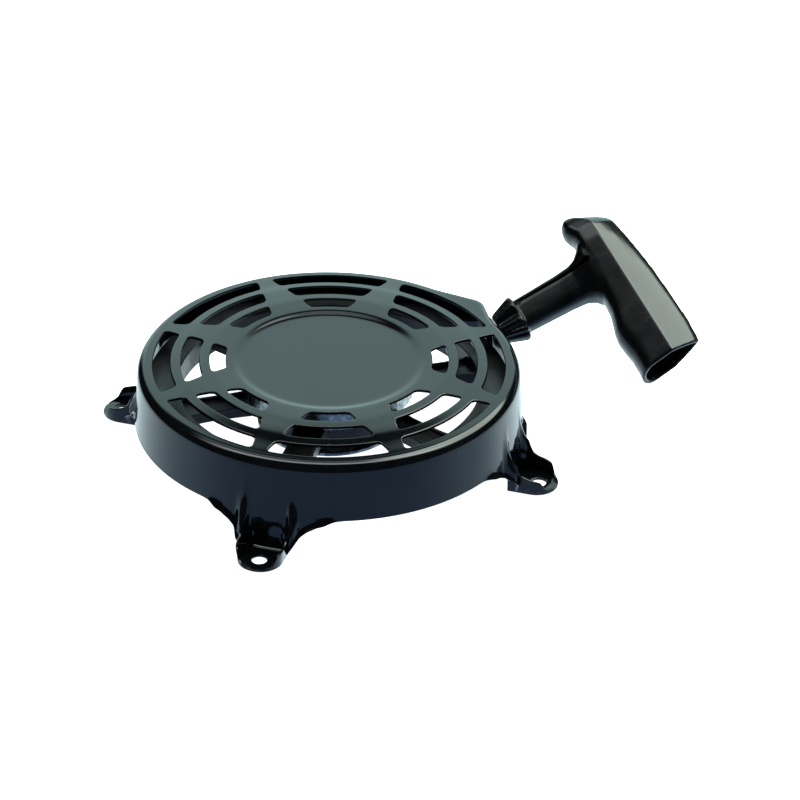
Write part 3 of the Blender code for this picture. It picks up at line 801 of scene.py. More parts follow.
        def bend(radius: float, turns: np.ndarray, out: float = 0.0) -> list:
            """The rows of the rim's bend."""
            r, z = self.rim_centre
            turns = np.radians(turns)
            return [ring(r + radius * math.cos(turn), z + radius * math.sin(turn), out) for turn in turns]

        def down(share: float) -> np.ndarray:
            """Heights at a share of the way from the rim to the skirt's edge."""
            start = top_z - 1.0
            return start + (hem + 0.3 - start) * share

        edge = 0.28
        outside = [12.0, 24.0, 34.0, 40.0, *np.arange(42.0, 48.1, 0.75), *np.arange(49.5, 88.4, 1.5), 88.7]
        inside = [87.5, 82.0, 77.5, 73.0, 68.0, 63.0, 58.0, 53.0, 49.0, 47.4, 45.8, 44.0, 42.0, 20.0]
        rows = [ring(r, self.top_height(r)) for r in outside]
        rows += bend(self.rim_radius, np.linspace(82.0, 6.0, 10))
        rows += [wall(down(t)) for t in (0.0, 0.15, 0.3, 0.45, 0.58, 0.7, 0.78, 0.85, 0.91, 0.95, 0.98)]
        rows += [wall(hem + edge, 0.02), wall(hem + 0.02, edge)]
        rows += [wall(hem + 0.02, self.sheet - edge), wall(hem + edge, self.sheet)]
        rows += [wall(down(t), self.sheet) for t in (0.95, 0.88, 0.78, 0.6, 0.35, 0.0)]
        rows += bend(self.rim_radius - self.sheet, np.linspace(8.0, 84.0, 5), 1.2)
        return rows + [ring(r, self.top_height(r) - self.sheet, 0.8) for r in inside]

    def shell(self) -> Piece:
        """The whole sheet before its holes are punched.

        Returns:
            The object.
        """
        rows = self.shell_rows()
        points, faces = skin(rows, capped=False)
        width = len(rows[0])
        top, under = len(points), len(points) + 1
        points += [(0.0, 0.0, 0.0), (0.0, 0.0, -self.sheet)]
        last = (len(rows) - 1) * width
        for j in range(width):
            k = (j + 1) % width
            faces.append((top, k, j))
            faces.append((under, last + j, last + k))
        return mesh_piece("housing_shell", points, faces)

    def slot_loop(self, inner: float, outer: float) -> list:
        """A slot's outline on the +X group, with round corners.

        Args:
            inner: radius of its inner edge.
            outer: radius of its outer edge.

        Returns:
            Points (x, y), counter-clockwise.
        """

        def half_angle(radius: float) -> float:
            """Angle at which a circle meets the slot's straight end.

            Args:
                radius: the circle's radius.

            Returns:
                The angle, in degrees.
            """
            k2 = self.slot_slope**2
            point = self.slot_point
            root = math.sqrt(k2**2 * point**2 - (k2 + 1) * (k2 * point**2 - radius**2))
            return math.degrees(math.acos((k2 * point + root) / (k2 + 1) / radius))

        def bend(start: Vector, corner: Vector, end: Vector) -> list:
            """A smooth corner."""
            shares = (0.17, 0.33, 0.5, 0.67, 0.83)
            return [tuple(start * (1 - t) ** 2 + corner * 2 * t * (1 - t) + end * t**2) for t in shares]

        corner_out, corner_in = (Vector(polar(r, half_angle(r))) for r in (outer, inner))
        along = (corner_out - corner_in).normalized()
        trim = self.slot_corner * 1.15
        out_arc = arc_points((0, 0), outer, 0.0, half_angle(outer) - math.degrees(trim / outer), 16)
        in_arc = arc_points((0, 0), inner, half_angle(inner) - math.degrees(trim / inner), 0.0, 14)
        leave_out, enter_in = corner_out - along * trim, corner_in + along * trim
        half = out_arc + bend(Vector(out_arc[-1]), corner_out, leave_out)
        half += [tuple(leave_out), tuple(enter_in)] + bend(enter_in, corner_in, Vector(in_arc[0])) + in_arc
        return half + [(x, -y) for x, y in reversed(half[1:-1])]

    def slot_punch(self, number: int, inner: float, outer: float) -> Piece:
        """A punch that also breaks the slot's upper edge with a small round.

        Args:
            number: which of the groups round the axis.
            inner: radius of the slot's inner edge.
            outer: radius of its outer edge.

        Returns:
            The punch.
        """
        loop = self.slot_loop(inner, outer)
        turn = math.radians(360.0 / self.slot_groups * number)
        cos, sin = math.cos(turn), math.sin(turn)
        levels = ((0.0, -7.0, False), (0.0, -0.60, True), (0.07, -0.32, True), (0.24, -0.11, True),
                  (0.60, 0.015, True), (0.64, 5.0, False))  # fmt: skip
        rows = []
        for grow, height, follows in levels:
            row = []
            for x, y in offset_loop(loop, grow):
                z = height + (self.top_height(math.hypot(x, y)) if follows else 0.0)
                row.append((x * cos - y * sin, x * sin + y * cos, z))
            rows.append(row)
        return mesh_piece("punch", *skin(rows))

    def eyelet_place(self) -> Matrix:
        """The eyelet's seat on the outlet's end face, from where the CAD eyelet lies.

        Returns:
            A matrix in millimetres, with Z out of the outlet.
        """
        low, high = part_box("rope_eyelet")
        near, corner, _ = self.outlet_deg
        start, end = Vector(polar(self.skirt_top[0], near)), Vector(polar(self.outlet_corner, corner))
        along = (end - start).normalized()
        outward = Vector((along.y, -along.x, self.outlet_tilt)).normalized()
        turn = outward.to_track_quat("Z", "Y").to_matrix().to_4x4()
        return Matrix.Translation((low + high) / 2 / MM) @ turn

    def tab(self) -> Piece:
        """An ear's flat foot with its screw hole, softly rounded round the edge.

        Returns:
            The foot, on the +X side.
        """
        half, root = self.ear_half, self.ear_root
        outline = [(root, -half), *arc_points((self.ear_tip, 0), half, -90, 90, 36), (root, half)]
        hole_u, hole_r = self.ear_hole
        rays = 96

        def reach(a: float) -> tuple:
            """Where a ray from the hole's centre leaves the foot.

            Args:
                a: the ray's angle.

            Returns:
                The point (x, y).
            """
            heading = Vector((math.cos(a), math.sin(a)))
            start = Vector((hole_u, 0.0))
            for p, q in zip(outline, outline[1:] + outline[:1]):
                first, edge = Vector(p), Vector(q) - Vector(p)
                across = heading.x * edge.y - heading.y * edge.x
                if abs(across) < 1e-9:
                    continue
                gap = first - start
                far = (gap.x * edge.y - gap.y * edge.x) / across
                share = (gap.x * heading.y - gap.y * heading.x) / across
                if far > 0 and -1e-6 <= share <= 1 + 1e-6:
                    return tuple(start + heading * far)
            return tuple(start)

        hole = circle(hole_r, rays, (hole_u, 0.0))
        rim = [reach(a) for a in np.arange(rays) * math.tau / rays]
        low, high = self.floor_z, self.floor_z + self.sheet
        section = (
            (hole, 0.0, low + 0.25), (hole, 0.25, low), (rim, -0.35, low), (rim, 0.0, low + 0.35),
            (rim, 0.0, high - 0.35), (rim, -0.12, high - 0.1), (rim, -0.4, high), (hole, 0.4, high),
            (hole, 0.1, high - 0.12), (hole, 0.0, high - 0.4),
        )  # fmt: skip
        rows = []
        for loop, grow, z in section:
            rows.append([(x, y, z) for x, y in (offset_loop(loop, grow) if grow else loop)])
        return mesh_piece("ear_foot", *skin(rows, ring=True))

    def gusset(self, side: int) -> Piece:
        """The upright edge of an ear, from the skirt's ridge round to the tip of the foot.

        Args:
            side: 1 or -1.

        Returns:
            The edge, on the +X side.
        """
        thick = self.sheet
        stations = np.linspace(self.ear_edge[0][0], self.ear_edge[-1][0], 40)
        rows = []
        for u, top in zip(stations, along_knots(self.ear_edge, stations)):
            past_tip = max(u - self.ear_tip, 0.0)
            v = math.sqrt(max(self.ear_half**2 - past_tip**2, 0.5))
            away = Vector((past_tip, v)).normalized()
            tall = top - self.floor_z
            section = (
                (0.0, 0.3), (0.0, tall * 0.5), (0.0, tall - 0.4), (0.25, tall - 0.08), (thick / 2, tall),
                (thick - 0.25, tall - 0.08), (thick, tall - 0.4), (thick, tall * 0.5), (thick, 1.1),
                (thick + 1.6, 0.9), (thick + 1.6, 0.3),
            )  # fmt: skip
            row = []
            for depth, height in section:
                shift = self.ear_edge_lean * tall * height / max(tall, 0.1) - depth
                row.append((u + away.x * shift, side * (v + away.y * shift), self.floor_z + height))
            rows.append(row)
        return mesh_piece(f"ear_edge_{side}", *skin(rows))

    def bend_fillet(self) -> Piece:
        """The soft inside corner where the ear's upright panel turns into its foot.

        Returns:
            The fillet, on the +X side.
        """
        radius, corner_u, top = 1.9, 96.2, self.floor_z + self.sheet
        rows = []
        for v in np.linspace(-10.2, 10.2, 15):
            base = math.sqrt(corner_u**2 - v * v)
            row = [(base - 0.8, v, top - 0.5)]
            for a in np.linspace(0, math.pi / 2, 7):
                row.append((base + radius * (1 - math.sin(a)), v, top - 0.02 + radius * (1 - math.cos(a))))
            rows.append([*row, (base - 0.8, v, top + radius)])
        return mesh_piece("ear_bend", *skin(rows))

    def round_normals(self, punched: Piece, whole: Piece) -> None:
        """Copies the unpunched sheet's smooth normals, so that the gloss runs evenly between the slots.

        Args:
            punched: the sheet with its slots.
            whole: the sheet before it was punched.
        """
        on_sheet, same_way = 3e-5, 0.985
        source = whole.data
        faces = [tuple(p.vertices) for p in source.polygons]
        tree = BVHTree.FromPolygons([v.co for v in source.vertices], faces)
        mesh = punched.data
        normals = [Vector(c.vector) for c in mesh.corner_normals]
        found: dict[int, tuple] = {}
        for polygon in mesh.polygons:
            for corner in polygon.loop_indices:
                number = mesh.loops[corner].vertex_index
                if number not in found:
                    near, _, face, gap = tree.find_nearest(mesh.vertices[number].co)
                    ring = source.polygons[face].vertices
                    weights = poly_3d_calc([source.vertices[i].co for i in ring], near)
                    mixed = Vector((0, 0, 0))
                    for weight, index in zip(weights, ring):
                        mixed += source.vertices[index].normal * weight
                    found[number] = (mixed.normalized(), gap)
                normal, gap = found[number]
                if gap < on_sheet and polygon.normal.dot(normal) > same_way:
                    normals[corner] = normal
        mesh.normals_split_custom_set(normals)

    def build(self) -> None:
        """Makes, punches, dresses and places the housing."""
        whole = self.shell()
        punched = whole.copy()
        punched.data = whole.data.copy()
        bpy.context.scene.collection.objects.link(punched)
        punches = [self.slot_punch(g, *radii) for g in range(self.slot_groups) for radii in self.ring_radii]
        bore = [(self.eyelet_bore, -6.0), (self.eyelet_bore, 6.0)]
        cut(punched, [*punches, turned_piece("punch", bore, 48, False, self.eyelet_place())])
        punched.data.set_sharp_from_angle(angle=math.radians(30))
        self.round_normals(punched, whole)
        bpy.data.objects.remove(whole, do_unlink=True)
        ears = []
        for angle in self.ear_degs:
            for piece in (self.tab(), self.gusset(1), self.gusset(-1), self.bend_fillet()):
                piece.data.transform(Matrix.Rotation(math.radians(angle), 4, "Z"))
                ears.append(piece)
        shell = joined("housing_shell", [punched, *ears])
        show(shell, "housing", Slot.ENAMEL, [self.paint.by_slot[Slot.ENAMEL]], "housing")
        self.build_eyelet()

    def build_eyelet(self) -> None:
        """The rolled steel eyelet that the rope runs through."""
        profile = [
            (7.6, 3.0), (6.6, 3.05), (5.6, 2.75), (4.8, 2.2), (4.2, 1.4), (3.9, 0.6), (3.8, 0.0), (3.9, -0.6),
            (4.2, -1.4), (4.8, -2.2), (5.6, -2.65), (6.6, -2.85), (7.6, -2.8), (8.6, -2.4), (9.0, -1.8),
            (8.8, -1.3), (7.0, -1.0), (6.9, -0.6), (6.9, 0.8), (7.2, 1.1), (9.0, 1.3), (9.3, 1.9), (8.9, 2.5),
        ]  # fmt: skip
        eyelet = turned_piece("rolled_eyelet", profile, 72, True, self.eyelet_place())
        show(eyelet, "housing", Slot.ZINC, [self.paint.by_slot[Slot.ZINC]], "rope_eyelet")


# ---------------------------------------------------------------- pulley, rope and spring


@dataclass
class Pulley:
    """The moulded rope pulley with its spokes, ribs and hub."""

    paint: Paintbox
    groove: tuple = (80.0, 4.5)
    middle_z: float = -18.0
    flange: tuple = (89.0, 1.5)
    rim_inner: float = 74.0
    spokes: int = 6
    first_deg: float = 17.0
    spoke_knots: tuple = ((30.0, 9.8), (40.0, 7.8), (50.0, 7.2), (62.0, 7.2), (70.0, 7.9), (75.0, 9.2))

    def rim(self) -> Piece:
        """The groove and its two flanges, with rounded edges.

        Returns:
            The rim.
        """
        root, half = self.groove
        outer, thick = self.flange
        upper = [
            (self.rim_inner, half + thick - 0.4), (self.rim_inner + 0.4, half + thick),
            (outer - 0.6, half + thick), (outer, half + thick - 0.5), (outer, half + 0.5),
            (outer - 0.5, half), (root + 0.8, half - 0.2), (root, half - 1.2),
        ]  # fmt: skip
        profile = upper + [(r, -z) for r, z in reversed(upper)]
        return turned_piece("pulley_rim", [(r, self.middle_z + z) for r, z in profile], 180)

    def spoke(self, number: int) -> Piece:
        """A spoke with a raised rib along each side.

        Args:
            number: its place round the hub.

        Returns:
            The spoke.
        """
        rib = ((0.4, -20.6), (0.0, -20.2), (0.0, -15.0), (0.3, -14.7), (1.3, -14.7), (1.6, -15.0),
               (1.7, -16.4), (2.3, -17.0))  # fmt: skip
        rows = []
        for u in np.linspace(self.spoke_knots[0][0], self.spoke_knots[-1][0], 26):
            half = float(along_knots(self.spoke_knots, u))
            section = [(half - inset, z) for inset, z in rib]
            section += [(-v, z) for v, z in reversed(section)]
            rows.append([(u, v, z) for v, z in section])
        piece = mesh_piece(f"spoke_{number}", *skin(rows))
        heading = math.radians(self.first_deg + 360.0 / self.spokes * number)
        piece.data.transform(Matrix.Rotation(heading, 4, "Z"))
        return piece

    def hub(self) -> Piece:
        """The hub with the spring arbor on top.

        Returns:
            The hub.
        """
        profile = [
            (10.0, -5.2), (11.3, -5.2), (11.7, -5.6), (11.7, -14.4), (12.1, -14.8), (36.4, -14.8),
            (37.0, -15.4), (37.0, -20.4), (36.4, -21.0), (34.4, -21.0), (34.0, -21.4), (34.0, -26.0),
            (33.4, -26.6), (10.0, -26.6),
        ]  # fmt: skip
        return turned_piece("pulley_hub", profile, 120)

    def build(self) -> None:
        """Makes the pulley from its rim, spokes and hub."""
        pulley = joined("rope_pulley", [self.rim(), self.hub(), *(self.spoke(i) for i in range(self.spokes))])
        show(pulley, "pulley", Slot.NYLON, [self.paint.by_slot[Slot.NYLON]], "pulley")


@dataclass
class StarterRope:
    """The braided rope: its turns on the pulley, and its run through the eyelet into the grip."""

    paint: Paintbox
    radius: float = 2.15
    leaves_at: float = 86.2
    layer_step: float = 3.9
    turn_offset: float = 2.1
    groove_z: float = -18.0
    strands: int = 8
    lay: float = 7.0
    relief: float = 0.14
    sides: int = 20

    def braid(self, around: float, along: float) -> float:
        """Height of the crossing strands at a point of the rope's surface.

        Args:
            around: angle round the rope.
            along: distance along it.

        Returns:
            Millimetres above or below the rope's mean radius.
        """
        turn = math.tau * along / self.lay
        half = self.strands / 2
        return self.relief * math.cos(half * around + turn) * math.cos(half * around - turn)

    def tube(self, name: str, path: Sequence[Vector], closed: bool = False) -> Piece:
        """A braided tube along a path of close points.

        Args:
            name: the piece's name.
            path: centre points in millimetres.
            closed: the path is a ring.

        Returns:
            The object.
        """
        side = Vector((0.0, 0.0, 1.0))
        along = 0.0
        rows = []
        count = len(path)
        for i, centre in enumerate(path):
            before = path[i - 1] if closed or i else centre
            after = path[(i + 1) % count] if closed or i < count - 1 else centre
            heading = (after - before).normalized()
            side = (side - heading * side.dot(heading)).normalized()
            other = heading.cross(side)
            along += (centre - path[i - 1]).length if i else 0.0
            row = []
            for j in range(self.sides):
                around = math.tau * j / self.sides
                reach = self.radius + self.braid(around, along)
                row.append(centre + (side * math.cos(around) + other * math.sin(around)) * reach)
            rows.append(row)
        return mesh_piece(name, *skin(rows, ring=closed, capped=not closed), sharp_deg=60)

    def build_turns(self) -> None:
        """Makes the two layers of two turns on the pulley."""
        turns = []
        for radius in (self.leaves_at, self.leaves_at - self.layer_step):
            for offset in (-self.turn_offset, self.turn_offset):
                points = circle(radius, int(math.tau * radius / 0.9))
                ring = [Vector((x, y, self.groove_z + offset)) for x, y in points]
                turns.append(self.tube("turn", ring, True))
        show(joined("rope_turns", turns), "pulley", Slot.ROPE, [self.paint.by_slot[Slot.ROPE]], "rope_wound")

    def build_run(self, grip: "Grip") -> None:
        """Makes the run from the pulley through the eyelet to the knot in the grip.

        Args:
            grip: the grip, which says where the knot lies.
        """
        low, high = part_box("rope_eyelet")
        eyelet = (low + high) / 2 / MM
        angle = math.atan2(eyelet.y, eyelet.x) + math.acos(self.leaves_at / eyelet.xy.length)
        leave = Vector((*circle_point(self.leaves_at, angle), self.groove_z))
        knot = grip.place() @ Vector((grip.knot_at, 0, 0))
        heading = (knot - eyelet).normalized()
        beyond = eyelet + heading * 5.0
        stations = [leave + (eyelet - leave) * t for t in np.linspace(0.22, 0.86, 40)]
        first = stations[-1]
        bend = np.linspace(0.06, 1.0, 16)
        stations += [first * (1 - t) ** 2 + eyelet * 2 * t * (1 - t) + beyond * t * t for t in bend]
        stations += [beyond + (knot - beyond) * t for t in np.linspace(0.008, 1.0, 110)]
        run = self.tube("rope_run", stations)
        run.data.materials.append(self.paint.by_slot[Slot.ROPE])
        start, end = (eyelet + heading * 1.0) * MM, (eyelet + heading * 5.0) * MM
        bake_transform(run)
        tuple(start)
        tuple(end)
        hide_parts("rope_lead", "rope_tail")
        LOG.info("rope_run: %d faces", len(run.data.polygons))

    def build(self, grip: "Grip") -> None:
        """Makes the turns on the pulley and the run to the grip."""
        self.build_turns()
        self.build_run(grip)


@dataclass
class RewindSpring:
    """The flat spiral spring in its cup, wound evenly from the arbor to the cup."""

    paint: Paintbox
    radii: tuple = (12.6, 39.6)
    turns: float = 7.0
    heights: tuple = (-12.4, -4.7)
    strip: float = 0.8
    steps_per_turn: int = 72
    section: tuple = (
        (-1, 0.15), (-1, 0.5), (-1, 0.85), (-0.6, 1.0), (0.6, 1.0), (1, 0.85), (1, 0.5), (1, 0.15),
        (0.6, 0.04), (-0.6, 0.04),
    )  # fmt: skip

    def build(self) -> None:
        """Makes the strip."""
        steps = int(self.turns * self.steps_per_turn)
        low, high = self.heights
        first, last = self.radii
        rows = []
        for i in range(steps + 1):
            turn = math.tau * self.turns * i / steps
            radius = first + (last - first) * i / steps
            row = []
            for depth, share in self.section:
                x, y = circle_point(radius + depth * self.strip / 2, turn)
                row.append((x, y, low + (high - low) * share))
            rows.append(row)
        spring = mesh_piece("spiral_spring", *skin(rows))
        show(spring, "housing", Slot.SPRING, [self.paint.by_slot[Slot.SPRING]], "rewind_spring")


# ---------------------------------------------------------------- grip


@dataclass
class Grip:
    """The moulded T-grip: fluted collar, grooved stem and a hollow bar with finger waves and a polished palm,
    whose paler colour is painted sheen.

    Its own frame is s along the stem, b along the bar and n towards the face seen from above. Knots give a
    size at stations along b or s.
    """

    paint: Paintbox
    origin: tuple = (83.0, 57.2, -16.7)
    stem: tuple = (0.866, 0.309, 0.393)
    bar: tuple = (0.4804, -0.7320, -0.4831)
    half_depth: float = 12.0
    wall: float = 2.5
    palm_line: float = 69.6
    open_end: float = 61.6
    knot_at: float = 62.6
    finger_knots: tuple = (
        (-32.4, 59.4), (-31.4, 57.0), (-29.5, 55.3), (-26.4, 54.5), (-23.6, 55.2), (-20.5, 56.6),
        (-15.5, 57.0), (-10.0, 56.2), (0.0, 55.3), (10.0, 54.7), (18.0, 54.2), (24.0, 53.4), (29.0, 51.9),
        (33.0, 50.5), (38.0, 49.8), (44.0, 50.3), (50.0, 51.0), (56.0, 50.9), (61.6, 50.4),
    )  # fmt: skip
    palm_knots: tuple = (
        (-32.4, 60.4), (-31.6, 64.0), (-30.2, 68.7), (-27.0, 75.2), (-24.4, 78.8), (-21.5, 80.6),
        (-12.0, 82.2), (0.0, 83.7), (12.0, 84.8), (30.0, 85.6), (45.0, 85.9), (57.9, 85.3), (61.6, 85.0),
    )  # fmt: skip
    depth_knots: tuple = (
        (-32.4, 4.4), (-31.6, 6.6), (-30.0, 8.4), (-27.0, 10.0), (-22.0, 11.2), (-14.0, 12.0),
        (61.6, 12.0),
    )  # fmt: skip
    palm_rise: tuple = (
        (0.0, 0.0), (0.1, 0.126), (0.3, 0.366), (0.5, 0.587), (0.7, 0.787), (0.78, 0.858), (0.85, 0.912),
        (0.91, 0.952), (0.96, 0.982), (1.0, 1.0),
    )  # fmt: skip
    stem_upper: tuple = (
        (10.0, 8.6), (16.0, 8.7), (40.0, 9.4), (48.0, 10.0), (52.0, 11.4), (55.0, 14.2), (57.5, 17.5),
        (60.0, 19.0), (64.0, 19.0),
    )  # fmt: skip
    stem_lower: tuple = (
        (10.0, 8.4), (16.0, 8.5), (40.0, 9.3), (48.0, 9.9), (52.0, 11.6), (54.5, 14.6), (57.0, 17.5),
        (60.0, 19.0), (64.0, 19.0),
    )  # fmt: skip
    stem_depth: tuple = (
        (10.0, 6.6), (16.0, 6.6), (40.0, 7.0), (48.0, 7.8), (53.0, 9.6), (57.0, 11.4), (60.0, 11.9),
        (64.0, 11.9),
    )  # fmt: skip
    collar_rows: tuple = (
        (2.0, 6.9, 6.0, 0.4), (2.5, 7.7, 6.8, 1.0), (4.0, 8.3, 7.3, 1.5), (9.0, 10.2, 8.8, 1.7),
        (13.2, 11.7, 10.0, 1.6), (14.1, 11.7, 9.9, 1.0), (14.9, 10.8, 9.0, 0.2), (15.2, 8.6, 6.6, 0.0),
    )  # fmt: skip
    flutes: int = 10
    groove_ends: tuple = ((16.9, -5.7), (57.2, -5.9))

    def place(self) -> Matrix:
        """Takes (s, b, n) to the CAD frame.

        Returns:
            A matrix in millimetres.
        """
        s = Vector(self.stem).normalized()
        b = Vector(self.bar)
        b = (b - s * b.dot(s)).normalized()
        n = -s.cross(b)
        return Matrix.Translation(self.origin) @ Matrix((s, b, n)).transposed().to_4x4()

    def section(self, b: float, shrink: float = 0.0) -> list:
        """The bar's section at a station along it.

        Args:
            b: the station.
            shrink: wall thickness to take off all round.

        Returns:
            A loop of (s, b, n) points.
        """
        finger = float(along_knots(self.finger_knots, b)) + shrink
        palm = float(along_knots(self.palm_knots, b)) - shrink
        depth = float(along_knots(self.depth_knots, b)) - shrink
        line = min(self.palm_line, finger + 0.55 * (palm - finger))
        nose = min(7.5, 0.4 * (line - finger))
        shares = np.linspace(0.0, 1.0, 13)
        rise = along_knots(self.palm_rise, shares)
        side = [(line + (palm - line) * float(r), depth * (1 - t)) for r, t in zip(rise, shares)]
        loop = [(s, -n) for s, n in side[:-1]] + [(s, n) for s, n in reversed(side)]
        flank = [line + (finger + nose - line) * t for t in (0.33, 0.66)]
        loop += [(s, depth) for s in flank]
        for a in np.radians(np.linspace(90, 270, 17)):
            s = finger + nose - nose * abs(math.cos(a)) ** 0.9
            loop.append((s, depth * signed_power(math.sin(a), 0.9)))
        loop += [(s, -depth) for s in reversed(flank)]
        lean = 0.107 * smooth_step(b, 44.0, self.open_end)
        return [(s, b - lean * (s - 50.4), n) for s, n in loop]

    def bar_mesh(self) -> Piece:
        """The hollow bar, open at its lower end.

        Returns:
            The bar.
        """
        end = self.open_end
        rows = [self.section(b) for b in [*np.linspace(-32.4, -20.0, 14), *np.linspace(-18.0, end - 0.7, 50)]]
        rows += [self.section(end - 0.2, 0.15), self.section(end, 0.6)]
        rows += [self.section(end, self.wall - 0.6), self.section(end - 0.3, self.wall - 0.1)]
        rows += [self.section(b, self.wall) for b in (60.0, 50.0, 40.0, 30.0, 20.0, 10.0, 0.0, -10.0, -14.0)]
        return mesh_piece("grip_bar", *skin(rows))

    def stem_mesh(self) -> Piece:
        """The stem, which widens where it meets the bar.

        Returns:
            The stem.
        """
        rows = []
        for s in np.linspace(12.0, 64.0, 46):
            knots = (self.stem_upper, self.stem_lower, self.stem_depth)
            high, low, deep = (float(along_knots(k, s)) for k in knots)
            row = []
            for a in np.arange(36) * math.tau / 36:
                tall = low if math.sin(a) > 0 else high
                b, n = signed_power(math.sin(a), 0.55), signed_power(math.cos(a), 0.55)
                row.append((s, tall * b, deep * n))
            rows.append(row)
        return mesh_piece("grip_stem", *skin(rows))

    def collar_mesh(self) -> Piece:
        """The fluted collar, which widens away from the housing and steps down to the stem.

        Returns:
            The collar.
        """
        rows = []
        for s, high, deep, flute in self.collar_rows:
            row = []
            for a in np.arange(96) * math.tau / 96:
                fluted = 1.0 - flute / 9.0 * (0.5 + 0.5 * math.cos(self.flutes * a)) ** 2.5
                b, n = signed_power(math.sin(a), 0.72), signed_power(math.cos(a), 0.72)
                row.append((s, high * fluted * b, deep * fluted * n))
            rows.append(row)
        return mesh_piece("grip_collar", *skin(rows))

    def groove_tools(self) -> list:
        """Cutters for the stem's long groove, the two round marks at its ends and the rope's channel.

        Returns:
            The cutters.
        """
        above, groove_floor, mark_floor = 13.8, 4.6, 4.9
        near, far = self.groove_ends
        path = arc_points(far, 1.05, -90, 90, 8) + arc_points(near, 1.05, 90, 270, 8)
        groove = [[(x, y, z) for x, y in path] for z in (groove_floor, above)]
        tools = [mesh_piece("tool", *skin(groove))]
        for end in (near, far):
            mark = [[(x, y, z) for x, y in circle(r, 24, end)] for r, z in ((1.8, mark_floor), (2.0, above))]
            tools.append(mesh_piece("tool", *skin(mark)))
        channel = [[(s, x, y) for x, y in circle(2.9, 28)] for s in (-1.0, 62.0)]
        return [*tools, mesh_piece("tool", *skin(channel))]

    def palm_faces(self, grip: Piece) -> list:
        """Which faces are polished and get the palm material, whose paler colour is painted sheen.

        Args:
            grip: the finished mesh, still in its own frame.

        Returns:
            A material number for each face: 1 on the palm, 0 elsewhere.
        """
        numbers = []
        for polygon in grip.data.polygons:
            s, b, n = polygon.center / MM
            facing = polygon.normal.x > 0.02 or abs(n) > self.half_depth - 0.8
            numbers.append(int(s > self.palm_line and b < self.open_end - 2.0 and facing))
        return numbers

    def build(self) -> None:
        """Makes the grip: joins its three bodies, rounds their corners, then cuts the groove."""
        grip = self.bar_mesh()
        cut(grip, [self.stem_mesh(), self.collar_mesh()], "UNION")
        remesh = grip.modifiers.new("even", "REMESH")
        remesh.mode = "VOXEL"
        remesh.voxel_size = 0.55 * MM
        remesh.use_smooth_shade = True
        soften = grip.modifiers.new("soften", "SMOOTH")
        soften.factor = 0.5
        soften.iterations = 5
        apply_modifiers(grip)
        cut(grip, self.groove_tools())
        grip.name = "t_grip"
        palm = self.palm_faces(grip)
        grip.data.shade_smooth()
        grip.data.set_sharp_from_angle(angle=math.radians(40))
        scaled = self.place()
        scaled.translation *= MM
        grip.data.transform(scaled)
        grip.data.flip_normals()
        # The second material is the palm's, with its paler colour painted on as sheen.
        show(grip, "grip", Slot.GRIP, [self.paint.textured_grip, self.paint.polished_grip_painted_sheen], "grip")
        grip.data.polygons.foreach_set("material_index", palm)
        grip.data.update()


# ---------------------------------------------------------------- pieces carried over from the CAD


@dataclass
class Hardware:
    """The CAD pieces whose shape is already right: they keep it and get their real finish."""

    paint: Paintbox
    finishes: dict = field(
        default_factory=lambda: {
            Slot.ZINC: ("spring_cup", "centre_post", "spring_keeper", "thrust_washer", "centre_screw",
                        "pawl_pin_1", "pawl_pin_2", "grip_washer"),
            Slot.HARDENED: ("friction_plate", "pawl_1", "pawl_2"),
            Slot.SPRING: ("brake_spring", "pawl_spring_1", "pawl_spring_2"),
            Slot.BRONZE: ("pulley_bush",),
            Slot.ROPE: ("pulley_knot", "grip_knot"),
        }
    )  # fmt: skip

    def build(self) -> None:
        """Dresses every carried-over node."""
        for slot, names in self.finishes.items():
            for name in names:
                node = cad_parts[name]
                node.data.materials.clear()
                node.data.materials.append(self.paint.by_slot[slot])
                LOG.info("%s: dressed", name)


# ---------------------------------------------------------------- studio


